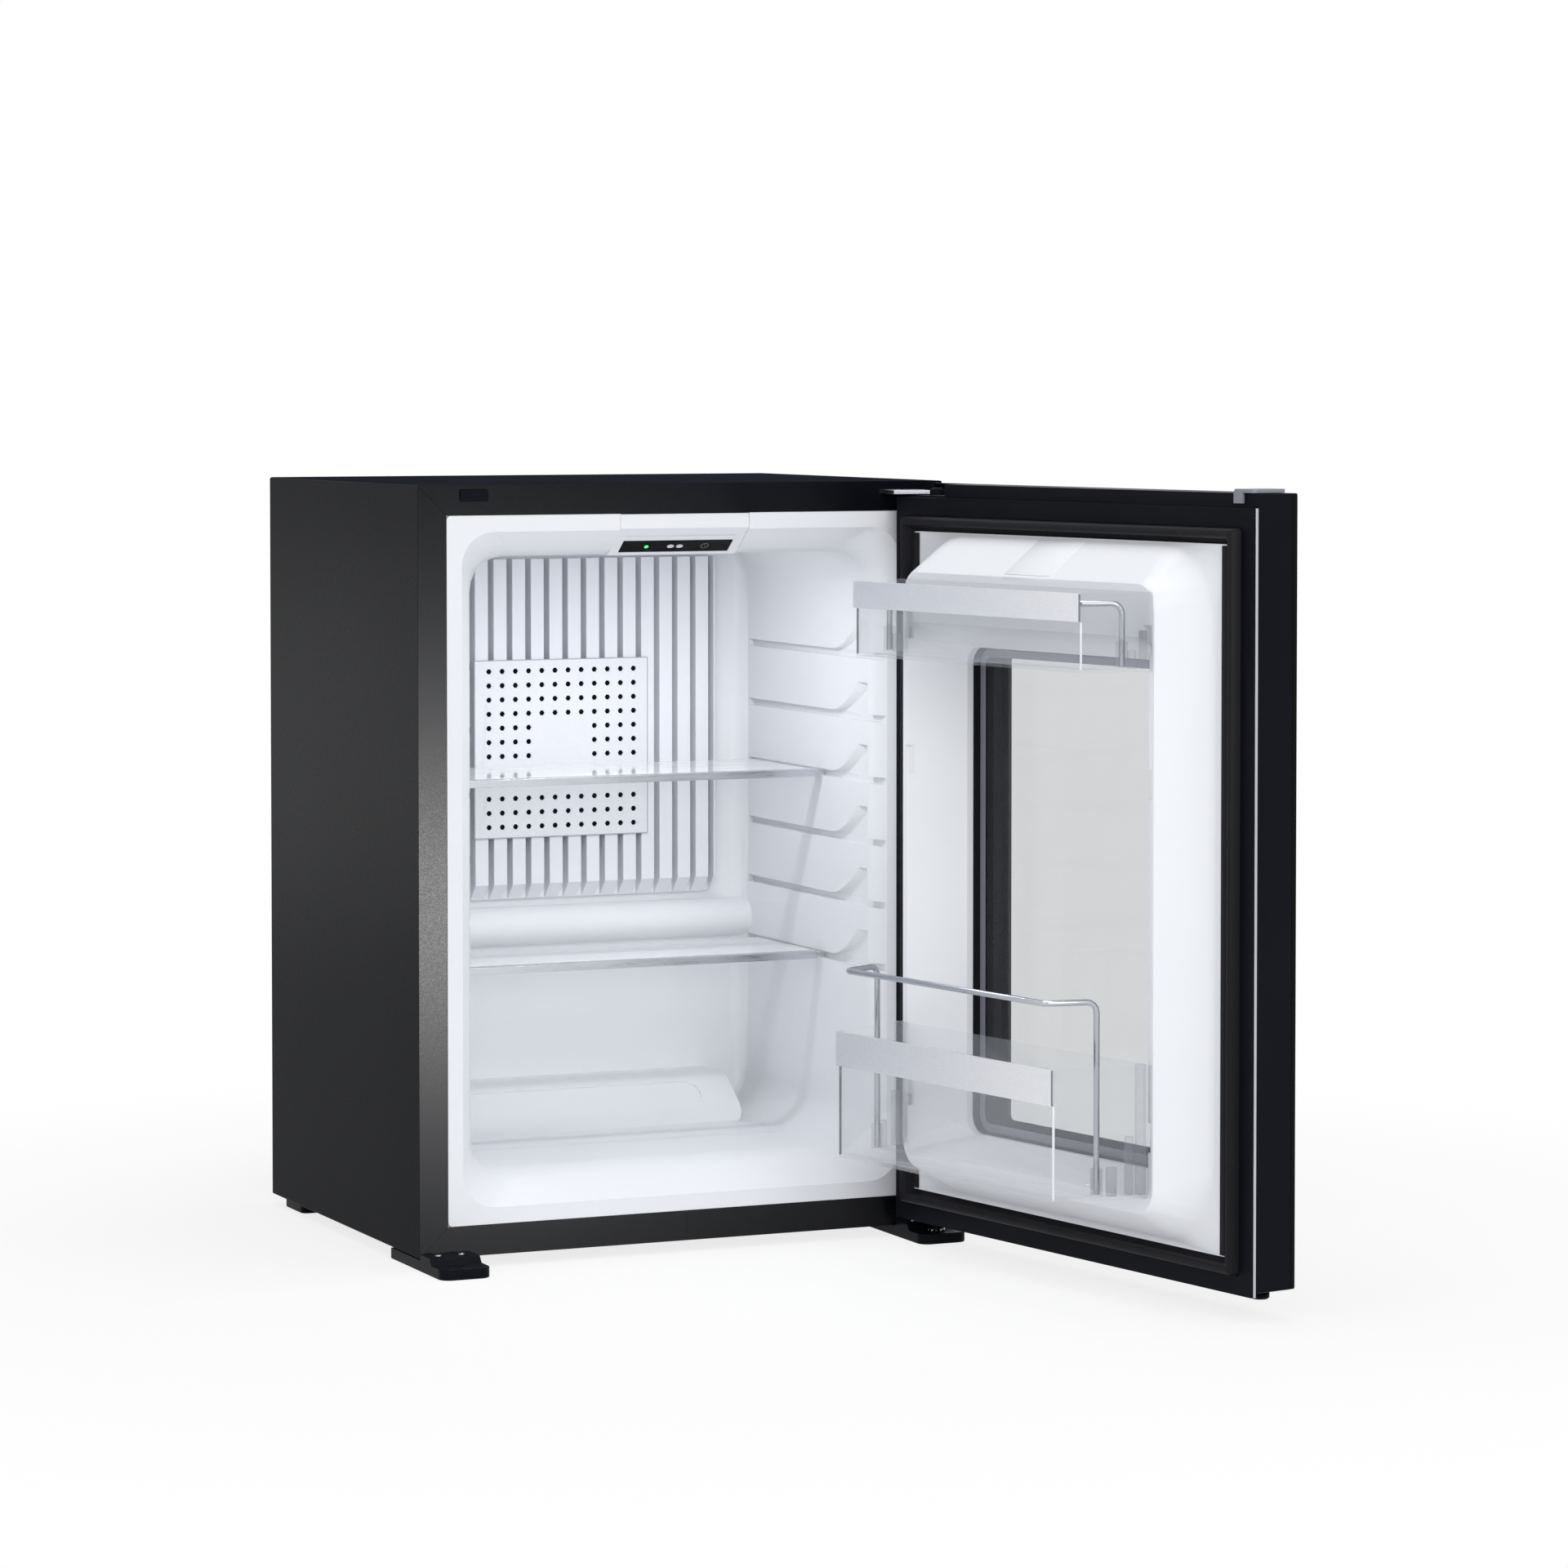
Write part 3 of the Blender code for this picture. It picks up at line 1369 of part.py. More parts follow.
def boiler(root):
    left, top = jacket_left, jacket_top
    front = panel_back + gap
    centre = (left + jacket_width / 2, unit_y())
    jacket = rounded_box((left, front, jacket_low), (left + jacket_width, front + jacket_depth, top),
                         jacket_corner, 2, 4)
    pipe_hole = cylinder(centre, boiler_radius + gap, top - 0.030, top + 0.001, 2, small_round_steps)
    heater_hole = cylinder(centre, heater_radius + gap, jacket_low - 0.001, jacket_low + heater_lead_in, 2,
                           small_round_steps)
    place("boiler_jacket", smooth(minus(jacket, pipe_hole, heater_hole)), galvanised(), root)
    heater = turned([(heater_radius * 0.7, jacket_low + heater_lead_in - heater_length),
                     (heater_radius, jacket_low + heater_lead_in - heater_length + 0.002),
                     (heater_radius, jacket_low + heater_lead_in - 0.002),
                     (heater_radius * 0.7, jacket_low + heater_lead_in - gap)], centre, small_round_steps)
    place("heater_cartridge", heater, bright_steel(), root)
    start_low = top - 0.030 + gap
    riser = turned([(boiler_radius, start_low), (boiler_radius, top + 0.040), (unit_pipe_radius, top + 0.050),
                    (unit_pipe_radius, condenser_height - 0.030)], centre, small_round_steps)
    route = bent_path([(centre[0], centre[1], condenser_height - 0.040),
                       (centre[0], centre[1], condenser_height),
                       (condenser_left, centre[1], condenser_height - condenser_drop)], 0.025, 5)
    run = rod(route, unit_pipe_radius, 10)
    parts = plus(riser, run)
    middle = (centre[0] + condenser_left) / 2
    half = condenser_fin_size / 2
    for i in range(condenser_fins):
        x = middle + (i - (condenser_fins - 1) / 2) * condenser_fin_pitch
        share = (x - condenser_left) / (centre[0] - condenser_left)
        z = condenser_height - condenser_drop * (1 - share)
        fin = box((x - condenser_fin_thickness / 2, centre[1] - half + 0.010, z - half),
                  (x + condenser_fin_thickness / 2, centre[1] + half, z + half))
        parts = plus(parts, fin)
    place("condenser", parts, unit_paint(), root)


def evaporator_pipe(root):
    place("evaporator_pipe", rod(evaporator_route(), evaporator_pipe_radius, 8), unit_paint(), root)


def absorber(root):
    y = unit_y()
    corners = [(coil_left, y, coil_top + 0.020)]
    for i in range(coil_runs):
        z = coil_top - i * coil_pitch
        left_first = i % 2 == 0
        first, second = (coil_left, coil_right) if left_first else (coil_right, coil_left)
        corners += [(first, y, z), (second, y, z - coil_slope)]
    last_x = corners[-1][0]
    end = tank_height + tank_radius + gap
    corners.append((last_x, y, end))
    place("absorber_coil", rod(bent_path(corners, 0.014, 4), coil_radius, 8), unit_paint(), root)
    profile = []
    dome = tank_radius * 0.45
    for i in range(5):
        angle = math.pi / 2 * i / 4
        profile.append((tank_radius * math.sin(angle), tank_left + dome * (1 - math.cos(angle))))
    ends = [(r, tank_left + tank_right - x) for r, x in reversed(profile)]
    rings = []
    for radius, x in profile[1:] + ends[:-1]:
        rings.append([(x, y + radius * math.cos(2 * math.pi * k / round_steps),
                       tank_height + radius * math.sin(2 * math.pi * k / round_steps)) for k in range(round_steps)])
    place("receiver_tank", smooth(loft(rings)), unit_paint(), root)


def liquid_pipe(root):
    y = unit_y()
    start = tank_right + gap
    end = jacket_left - gap
    middle = (start + end) / 2
    route = bent_path([(start, y, tank_height), (middle, y, tank_height), (middle, y, tank_height + 0.030),
                       (end, y, tank_height + 0.030)], 0.008, 3)
    place("liquid_pipe", rod(route, 0.005, 8), unit_paint(), root)


def brackets(root):
    y = unit_y()
    front = panel_back + gap
    run = jacket_left + jacket_width / 2 - condenser_left
    lowest = (condenser_bracket_x - bracket_width / 2 - condenser_left) / run
    pipe_z = condenser_height - condenser_drop * (1 - lowest)
    for name, x, under, reach in (("condenser_bracket", condenser_bracket_x,
                                   pipe_z - unit_pipe_radius - 2 * gap, y + unit_pipe_radius),
                                  ("tank_bracket", tank_bracket_x, tank_height - tank_radius - gap, y + 0.010)):
        half = bracket_width / 2
        section = [(front, under - bracket_height), (front + bracket_thickness, under - bracket_height),
                   (front + bracket_thickness, under - bracket_thickness), (reach, under - bracket_thickness),
                   (reach, under), (front, under)]
        place(name, prism(section, x - half, x + half, 0), galvanised(), root)


def electronics(root):
    front = panel_back + gap
    right = box_left + box_width
    case = rounded_box((box_left, front, box_low), (right, front + box_depth, box_low + box_height), 0.003, 0, 2)
    place("electronics_box", case, black_plastic(), root)
    y = front + box_depth / 2
    z = box_low + box_height / 2
    body = rounded_box((right + gap, y - inlet_width / 2, z - inlet_height / 2),
                       (right + gap + inlet_depth, y + inlet_width / 2, z + inlet_height / 2), 0.003, 0, 2)
    hollow = rounded_box((right + gap + 0.002, y - inlet_width / 2 + 0.002, z - inlet_height / 2 + 0.002),
                         (right + gap + inlet_depth + 0.001, y + inlet_width / 2 - 0.002,
                          z + inlet_height / 2 - 0.002), 0.002, 0, 2)
    body = minus(body, hollow)
    pins = []
    for shift_y, shift_z in ((-0.007, -0.001), (0, 0.003), (0.007, -0.001)):
        pins.append(box((right + gap + 0.001, y + shift_y - 0.001, z + shift_z - 0.002),
                        (right + gap + inlet_depth - 0.003, y + shift_y + 0.001, z + shift_z + 0.002)))
    place("power_inlet", plus(body, *pins), black_plastic(), root)


# Assembly

def centre_on_floor(root):
    """Move everything so that the origin is on the floor under the middle of the whole object."""
    bpy.context.view_layer.update()
    points = []
    for item in bpy.data.objects:
        if item.type == "MESH":
            points += [item.matrix_world @ v.co for v in item.data.vertices]
    low = [min(p[i] for p in points) for i in range(3)]
    high = [max(p[i] for p in points) for i in range(3)]
    root.location = (-(low[0] + high[0]) / 2, -(low[1] + high[1]) / 2, -low[2])


def build():
    clear_scene()
    root = empty("minibar", (0, 0, 0), None)
    outer_wrap(root)
    back_panel(root)
    foam_insulation(root)
    inner_liner(root)
    lamp_housing(root)
    control_pieces(root)
    evaporator(root)
    shelf(root, "upper_shelf", upper_shelf_groove, upper_shelf_depth)
    shelf(root, "lower_shelf", lower_shelf_groove, lower_shelf_depth)
    front_foot(root, "front_foot_left", False)
    front_foot(root, "front_foot_right", True)
    foot_screws(root)
    rear_feet(root)
    top_hinge(root)
    seat_height = lower_hinge_pin(root)
    door_assembly(root, seat_height)
    boiler(root)
    evaporator_pipe(root)
    absorber(root)
    liquid_pipe(root)
    brackets(root)
    electronics(root)
    centre_on_floor(root)


build()
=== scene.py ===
import math

import bmesh
import bpy
from mathutils import Matrix, Vector


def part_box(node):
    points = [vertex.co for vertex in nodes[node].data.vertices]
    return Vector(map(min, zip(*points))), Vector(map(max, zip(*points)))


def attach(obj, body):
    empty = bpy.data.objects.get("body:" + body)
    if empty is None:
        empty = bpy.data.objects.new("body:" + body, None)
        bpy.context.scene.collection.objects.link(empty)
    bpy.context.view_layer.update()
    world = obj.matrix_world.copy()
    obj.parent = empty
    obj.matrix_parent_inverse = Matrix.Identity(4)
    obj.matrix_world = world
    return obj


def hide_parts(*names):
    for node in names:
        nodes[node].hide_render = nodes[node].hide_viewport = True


# The looks of a hotel minibar: its parts with softened edges, fine trim, finishes, light and camera.
# All lengths are in metres. CABINET is the low front left corner of the cabinet's body in the frame of
# the solids. The cabinet's own frame starts there, and HINGE is the foot of the door's axis in it.
# Places on the door are given as it is closed: a distance from its hinge side, a rise k from its border
# towards the inside, and a height.

CABINET = Vector((-0.23267, 0.01262, 0.008))
WIDTH = 0.403
DEPTH = 0.3208
HEIGHT = 0.539
FLANGE = 0.0212
HINGE = Vector((0.3844, -0.0306, 0.0))
OPEN_ANGLE = math.radians(100)
DOOR_PLANE = -0.008
WINDOW_INSET = 0.085
WINDOW_LOW = 0.080
WINDOW_HIGH = 0.424
GASKET_LOW = 0.009
GASKET_HIGH = 0.528
UPPER_BIN_LOW = CABINET.z + 0.4196
LOWER_BIN_LOW = CABINET.z + 0.071

CORNER_STEPS = 6
POST_SIDES = 20
MERGE_DISTANCE = 0.000002
NOISE_LOW, NOISE_HIGH = 0.3, 0.7

STUDIO_WHITE = (1.0, 1.0, 1.0)
WORLD_COLOUR = (0.93, 0.95, 1.0)
WORLD_STRENGTH = 0.43
FLOOR_SIZE = 60
FLOOR_GLOW = 0.80
GLOW_NEAR, GLOW_FAR = 0.40, 1.05
CAMERA_PLACE = (-1.46787, -3.36408, 0.6221)
CAMERA_TURN = (math.radians(90 - 2.248), 0, math.radians(-24.135))
CAMERA_LENS = 119.07
CAMERA_SENSOR = 36
CAMERA_SHIFT = -0.13

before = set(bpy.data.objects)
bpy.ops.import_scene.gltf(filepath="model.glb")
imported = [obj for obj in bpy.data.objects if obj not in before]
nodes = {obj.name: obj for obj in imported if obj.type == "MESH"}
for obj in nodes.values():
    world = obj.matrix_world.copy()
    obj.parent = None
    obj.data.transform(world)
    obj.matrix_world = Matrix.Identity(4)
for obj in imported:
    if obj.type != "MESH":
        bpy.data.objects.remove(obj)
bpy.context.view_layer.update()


# Modelling helpers

def object_mode():
    if bpy.context.object and bpy.context.object.mode != "OBJECT":
        bpy.ops.object.mode_set(mode="OBJECT")


def select_none():
    object_mode()
    bpy.ops.object.select_all(action="DESELECT")


def select_only(piece):
    select_none()
    piece.select_set(True)
    bpy.context.view_layer.objects.active = piece


def newly_made(name):
    """Names the piece that an operator has just added, and puts its place and size into its mesh."""
    piece = bpy.context.object
    piece.name = name
    select_only(piece)
    bpy.ops.object.transform_apply(location=True, rotation=True, scale=True)
    return piece


def apply_modifiers(piece):
    select_only(piece)
    for modifier in list(piece.modifiers):
        bpy.ops.object.modifier_apply(modifier=modifier.name)


def bevel_edges(piece, width, segments=2, angle=35):
    modifier = piece.modifiers.new("soft_edges", "BEVEL")
    modifier.width = width
    modifier.segments = segments
    modifier.limit_method = "ANGLE"
    modifier.angle_limit = math.radians(angle)
    apply_modifiers(piece)


def smooth_by_angle(piece, angle=35):
    select_only(piece)
    bpy.ops.object.shade_smooth_by_angle(angle=math.radians(angle))


def block(name, low, high, bevel=0.0, segments=2):
    """A block between two corners, with softened edges."""
    select_none()
    low, high = Vector(low), Vector(high)
    bpy.ops.mesh.primitive_cube_add(size=1.0, location=(low + high) / 2)
    bpy.context.object.scale = high - low
    piece = newly_made(name)
    if bevel:
        bevel_edges(piece, bevel, segments)
    smooth_by_angle(piece)
    return piece


def disc(name, foot, radius, length, bevel=0.0, sides=24):
    """An upright round piece that stands on the centre of its lower face."""
    select_none()
    bpy.ops.mesh.primitive_cylinder_add(vertices=sides, radius=radius, depth=length,
                                        location=Vector(foot) + Vector((0, 0, length / 2)))
    piece = newly_made(name)
    if bevel:
        bevel_edges(piece, bevel)
    smooth_by_angle(piece)
    return piece


def hoop(name, radius, thickness, steps, place=(0, 0, 0), turn=(0, 0, 0)):
    """A thin round ring."""
    select_none()
    bpy.ops.mesh.primitive_torus_add(major_radius=radius, minor_radius=thickness, major_segments=steps,
                                     minor_segments=8, location=place, rotation=turn)
    piece = newly_made(name)
    smooth_by_angle(piece, 60)
    return piece


def cut_out(piece, cutter):
    """Takes one piece out of another."""
    modifier = piece.modifiers.new("cut", "BOOLEAN")
    modifier.operation = "DIFFERENCE"
    modifier.solver = "EXACT"
    modifier.object = cutter
    apply_modifiers(piece)
    bpy.data.objects.remove(cutter)


def panel(name, low, high, radius):
    """A block whose four edges that run from front to back are rounded."""
    piece = block(name, low, high)
    select_only(piece)
    bpy.ops.object.mode_set(mode="EDIT")
    mesh = bmesh.from_edit_mesh(piece.data)
    for edge in mesh.edges:
        along = edge.verts[1].co - edge.verts[0].co
        edge.select_set(abs(along.y) > 0.99 * along.length)
    bmesh.update_edit_mesh(piece.data)
    bpy.ops.mesh.bevel(offset=radius, segments=CORNER_STEPS, affect="EDGES")
    bpy.ops.object.mode_set(mode="OBJECT")
    return piece


def at_k(k):
    """Depth in the closed door's frame of a point that stands k above the door's border."""
    return DOOR_PLANE + k


def to_cabinet(piece):
    """Moves a piece drawn in the cabinet's own frame to the frame of the solids."""
    piece.data.transform(Matrix.Translation(CABINET))
    return piece


def to_door(piece):
    """Moves a piece drawn on the closed door to the open door in the frame of the solids."""
    turn = (Matrix.Translation(HINGE) @ Matrix.Rotation(OPEN_ANGLE, 4, "Z")
            @ Matrix.Translation(-HINGE))
    piece.data.transform(Matrix.Translation(CABINET) @ turn)
    return piece


def window_ring(name, outer, inner, radius, back, front):
    """A flat ring round the door's window, between two distances outside its edge and two rises."""
    def plate(plate_name, margin, slack, corner):
        return panel(plate_name, (WINDOW_INSET - margin, at_k(back) - slack, WINDOW_LOW - margin),
                     (WIDTH - WINDOW_INSET + margin, at_k(front) + slack, WINDOW_HIGH + margin), corner)

    ring = plate(name, outer, 0.0, radius + outer)
    cut_out(ring, plate("hole", inner, 0.001, max(radius + inner, 0.001)))
    smooth_by_angle(ring)
    return to_door(ring)


def door_block(name, near, far, back, front, low, high, bevel):
    """A block on the door: distances from the hinge side, rises from the border, heights."""
    return to_door(block(name, (WIDTH - far, at_k(back), low), (WIDTH - near, at_k(front), high), bevel))


def door_post(name, along, rise, low, radius, length):
    """An upright round post on the door."""
    return to_door(disc(name, (WIDTH - along, at_k(rise), low), radius, length, radius * 0.12, POST_SIDES))


# Finishes

def add_node(tree, kind, settings, values, output=0):
    """Adds a node: its settings first, then values or links by socket number or name."""
    made = tree.nodes.new(kind)
    for key, value in settings.items():
        setattr(made, key, value)
    pairs = values.items() if isinstance(values, dict) else enumerate(values)
    for key, value in pairs:
        if isinstance(value, Value):
            tree.links.new(value.socket, made.inputs[key])
        else:
            made.inputs[key].default_value = value
    return Value(tree, made.outputs[output])


class Value:
    """What a node's socket gives, with the operators that shader maths uses."""

    def __init__(self, tree, socket):
        self.tree = tree
        self.socket = socket

    def maths(self, operation, *values):
        return add_node(self.tree, "ShaderNodeMath", {"operation": operation}, values)

    def __add__(self, other):
        return self.maths("ADD", self, other)

    def __radd__(self, other):
        return self.maths("ADD", other, self)

    def __sub__(self, other):
        return self.maths("SUBTRACT", self, other)

    def __rsub__(self, other):
        return self.maths("SUBTRACT", other, self)

    def __mul__(self, other):
        return self.maths("MULTIPLY", self, other)

    def __rmul__(self, other):
        return self.maths("MULTIPLY", other, self)

    def __lt__(self, other):
        return self.maths("LESS_THAN", self, other)

    def __gt__(self, other):
        return self.maths("GREATER_THAN", self, other)

    def __abs__(self):
        return self.maths("ABSOLUTE", self)

    def least(self, other):
        return self.maths("MINIMUM", self, other)

    def most(self, other):
        return self.maths("MAXIMUM", self, other)

    def power(self, exponent):
        return self.maths("POWER", self, exponent)


class Finish:
    """A material with its Principled shader and the nodes that feed it."""

    def __init__(self, name, colour, roughness, **constants):
        self.material = bpy.data.materials.new(name)
        self.material.use_nodes = True
        self.tree = self.material.node_tree
        self.shader = self.tree.nodes["Principled BSDF"]
        self.set("Base Color", (*colour, 1.0))
        self.set("Roughness", roughness)
        for key, value in constants.items():
            self.set(key.replace("_", " "), value)
        self.place = self.node("ShaderNodeTexCoord", {}, [], "Object")

    def set(self, name, value):
        socket = self.shader.inputs[name]
        if isinstance(value, Value):
            self.tree.links.new(value.socket, socket)
        else:
            socket.default_value = value

    def node(self, kind, settings, values, output=0):
        return add_node(self.tree, kind, settings, values, output)

    def part(self, vector, letter):
        return self.node("ShaderNodeSeparateXYZ", {}, [vector], letter)

    def axis(self, letter):
        return self.part(self.place, letter)

    def turned(self, angle, scale, centre=(0, 0, 0)):
        """Object coordinates turned about the vertical and stretched, so that a grain follows a piece."""
        return self.node("ShaderNodeMapping", {"vector_type": "POINT"},
                         {"Vector": self.place, "Location": centre, "Rotation": (0, 0, angle),
                          "Scale": scale})

    def on_door(self):
        """Object coordinates of the open door, turned back to where the door is closed."""
        back = Matrix.Rotation(-OPEN_ANGLE, 3, "Z")
        shift = HINGE - back @ (CABINET + HINGE)
        return self.turned(-OPEN_ANGLE, (1, 1, 1), shift)

    def upright(self):
        """Nought on level faces and one on faces that stand."""
        normal = self.node("ShaderNodeTexCoord", {}, [], "Normal")
        return abs(self.part(normal, "Z")) < 0.5

    def past_window(self, inward, radius):
        """One on the door's pane outside the window, whose edge lies inward of the liner's opening."""
        place = self.on_door()
        half_x = WIDTH / 2 - WINDOW_INSET - inward
        half_z = (WINDOW_HIGH - WINDOW_LOW) / 2 - inward
        middle_z = (WINDOW_HIGH + WINDOW_LOW) / 2
        x = (abs(self.part(place, "X") - WIDTH / 2) - (half_x - radius)).most(0.0)
        z = (abs(self.part(place, "Z") - middle_z) - (half_z - radius)).most(0.0)
        return (x * x + z * z).power(0.5) > radius

    def facing(self):
        """One where a surface is seen edge on and nought where it is seen straight on."""
        return self.node("ShaderNodeLayerWeight", {}, {"Blend": 0.5}, "Facing")

    def noise(self, scale, detail=3.0, roughness=0.5, place=None):
        return self.node("ShaderNodeTexNoise", {},
                         {"Vector": place or self.place, "Scale": scale, "Detail": detail,
                          "Roughness": roughness}, "Fac")

    def cells(self, scale, output="Distance"):
        return self.node("ShaderNodeTexVoronoi", {"feature": "F1"},
                         {"Vector": self.place, "Scale": scale}, output)

    def spread(self, value, low, high, new_low, new_high):
        return self.node("ShaderNodeMapRange", {},
                         {"Value": value, "From Min": low, "From Max": high, "To Min": new_low,
                          "To Max": new_high}, "Result")

    def vary(self, noise, low, high):
        """A number between two, which follows a noise."""
        return self.spread(noise, NOISE_LOW, NOISE_HIGH, low, high)

    def mix(self, factor, first, second):
        """A colour between two, by a factor."""
        first = first if isinstance(first, Value) else (*first, 1.0)
        second = second if isinstance(second, Value) else (*second, 1.0)
        return self.node("ShaderNodeMix", {"data_type": "RGBA"}, {0: factor, 6: first, 7: second}, 2)

    def shade(self, noise, dark, light):
        """A colour between two, which follows a noise."""
        return self.mix(self.vary(noise, 0.0, 1.0), dark, light)

    def bump(self, height, strength, distance, under=None):
        values = {"Strength": strength, "Distance": distance, "Height": height}
        if under is not None:
            values["Normal"] = under
        bumped = self.node("ShaderNodeBump", {}, values, "Normal")
        self.set("Normal", bumped)
        return bumped


def grained(name, dark, light, roughness, grain, depth, variation=0.08, **constants):
    """A moulded or coated surface: fine grain, slow change of tone and of gloss."""
    made = Finish(name, dark, roughness, **constants)
    made.set("Base Color", made.shade(made.noise(9.0, 2.0), dark, light))
    fine = made.noise(grain, 2.0, 0.6)
    made.set("Roughness", made.vary(fine, roughness - variation, roughness + variation))
    made.bump(fine, 0.35, depth)
    return made


def make_coated_steel(name, gloss, dark, light):
    """Black coated sheet with a fine grain and the thin seams of its front flange."""
    seam_half, front_skin = 0.00035, 0.0006
    made = Finish(name, dark, 0.28, Specular_IOR_Level=gloss)
    x, y, z = made.axis("X"), made.axis("Y"), made.axis("Z")
    across = (x - CABINET.x).least(CABINET.x + WIDTH - x)
    upright = (z - CABINET.z).least(CABINET.z + HEIGHT - z)
    front = y < CABINET.y + front_skin
    mitre = (abs(across - upright) < seam_half) * (across < FLANGE)
    middle = (abs(x - (CABINET.x + WIDTH / 2)) < 0.0003) * (z < CABINET.z + FLANGE)
    seam = (mitre + middle) * front
    tone = made.shade(made.noise(7.0, 3.0), dark, light)
    made.set("Base Color", made.mix(seam, tone, (0.0005, 0.0005, 0.0008)))
    fine = made.noise(1400.0, 2.0, 0.6)
    made.set("Roughness", made.vary(fine, 0.24, 0.32))
    under = made.bump(fine, 0.20, 0.00004)
    made.bump(1.0 - seam, 0.8, 0.0004, under)
    return made


def make_brushed(name, colour, angle, roughness, along, streak):
    """Metal with a fine brushed grain along one direction."""
    stretch = {"X": (25, 900, 900), "Z": (900, 900, 25)}[along]
    made = Finish(name, colour, roughness, Metallic=1.0)
    grain = made.noise(1.0, 4.0, 0.7, made.turned(angle, stretch))
    light = tuple(min(1.0, c * (1 + streak)) for c in colour)
    dark = tuple(c * (1 - streak) for c in colour)
    made.set("Base Color", made.shade(grain, dark, light))
    made.set("Roughness", made.vary(grain, roughness - 0.07, roughness + 0.09))
    made.bump(grain, 2 * streak, 0.00004)
    return made


def make_pane(name, colour, printed=False):
    """A flat pane that lets light through, with a faint ripple in its gloss and perhaps a black border."""
    made = Finish(name, colour, 0.0, IOR=1.2)
    if printed:
        print_edge, print_corner = 0.0074, 0.004
        made.set("Base Color", made.mix(made.past_window(print_edge, print_corner), colour,
                                        (0.002, 0.002, 0.0025)))
    made.set("Transmission Weight", 1.0)
    made.set("Roughness", made.vary(made.noise(40.0, 2.0), 0.0, 0.006))
    return made


def make_shelf_glass():
    """Thick clear glass, which turns white where it is seen nearly edge on."""
    made = Finish("shelf_glass", (0.90, 0.915, 0.94), 0.05, IOR=1.5, Specular_IOR_Level=0.5)
    made.set("Alpha", made.spread(made.facing(), 0.62, 0.88, 0.08, 1.0))
    ripple = made.noise(60.0, 2.0)
    made.set("Roughness", made.vary(ripple, 0.05, 0.12))
    made.bump(ripple, 0.04, 0.0001)
    return made


def make_clear(name, colour, body, edge, power, floor=None):
    """A clear moulding: thin where it is seen straight on and denser seen edge on, with painted shade, a
    dark dense band, along the foot of its walls.
    """
    made = Finish(name, colour, 0.05, IOR=1.5, Specular_IOR_Level=1.0)
    dense = made.facing().power(power) * (edge - body) + body
    if floor is not None:
        # Painted shade: the upright walls turn dark and dense just above the bin's floor.
        foot_low, foot_high, foot_shade_density = floor + 0.0022, floor + 0.0030, 0.75
        foot = made.spread(made.axis("Z"), foot_low, foot_high, 1.0, 0.0) * made.upright()
        made.set("Base Color", made.mix(foot, colour, (0.02, 0.022, 0.03)))
        dense = (dense + foot * foot_shade_density).least(1.0)
    made.set("Alpha", dense)
    ripple = made.noise(60.0, 2.0)
    made.set("Roughness", made.vary(ripple, 0.03, 0.07))
    made.bump(ripple, 0.04, 0.0001)
    return made


def make_cover_paint():
    """White coated sheet with painted shade: a thin dark band along its edge, for the shadow line round the
    plate.
    """
    painted_shade_band_width = 0.0007
    made = Finish("white_coated_cover", (0.78, 0.795, 0.83), 0.45, Specular_IOR_Level=0.12)
    low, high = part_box("perforated_cover")
    x, z = made.axis("X"), made.axis("Z")
    inward = (x - low[0]).least(high[0] - x).least((z - low[2]).least(high[2] - z))
    fine = made.noise(900.0, 2.0, 0.6)
    tone = made.shade(fine, (0.76, 0.775, 0.81), (0.80, 0.815, 0.85))
    # Painted shade: the dark band along the cover's border.
    made.set("Base Color", made.mix(inward < painted_shade_band_width, tone, (0.42, 0.43, 0.47)))
    made.set("Roughness", made.vary(fine, 0.40, 0.50))
    made.bump(fine, 0.2, 0.00002)
    return made


def make_rubber():
    """The gasket: fine matt grain, with the mitre lines of its four corners."""
    made = Finish("black_rubber", (0.007, 0.007, 0.009), 0.5, Specular_IOR_Level=0.12)
    place = made.on_door()
    x, z = made.part(place, "X"), made.part(place, "Z")
    across = x.least(WIDTH - x)
    upright = (z - GASKET_LOW).least(GASKET_HIGH - z)
    mitre = abs(across - upright) < 0.0003
    fine = made.noise(1200.0, 2.0, 0.6)
    tone = made.shade(fine, (0.006, 0.006, 0.008), (0.010, 0.010, 0.013))
    made.set("Base Color", made.mix(mitre, tone, (0.001, 0.001, 0.0015)))
    made.set("Roughness", made.vary(fine, 0.44, 0.58))
    under = made.bump(fine, 0.3, 0.00006)
    made.bump(1.0 - mitre, 0.7, 0.0003, under)
    return made


def make_galvanised():
    """Zinc coated sheet with its spangle."""
    made = Finish("galvanised_steel", (0.45, 0.46, 0.48), 0.45, Metallic=0.9)
    spangle = made.node("ShaderNodeSeparateColor", {}, [made.cells(95.0, "Color")], "Red")
    made.set("Base Color", made.mix(spangle, (0.34, 0.35, 0.37), (0.52, 0.53, 0.55)))
    made.set("Roughness", made.spread(spangle, 0.0, 1.0, 0.36, 0.56))
    made.bump(made.noise(600.0), 0.15, 0.00008)
    return made


def make_glow(name, colour, strength):
    """A lit surface with a faint unevenness."""
    made = Finish(name, colour, 0.35)
    made.set("Emission Strength", strength)
    dim = tuple(c * 0.85 for c in colour)
    made.set("Emission Color", made.shade(made.noise(120.0, 1.0), dim, colour))
    return made


def make_foam():
    """Yellow foam with open pores."""
    made = Finish("insulating_foam", (0.78, 0.70, 0.46), 0.95)
    pores = made.cells(500.0)
    made.set("Base Color", made.mix(pores, (0.62, 0.54, 0.32), (0.82, 0.75, 0.52)))
    made.bump(pores, 0.6, 0.0006)
    return made


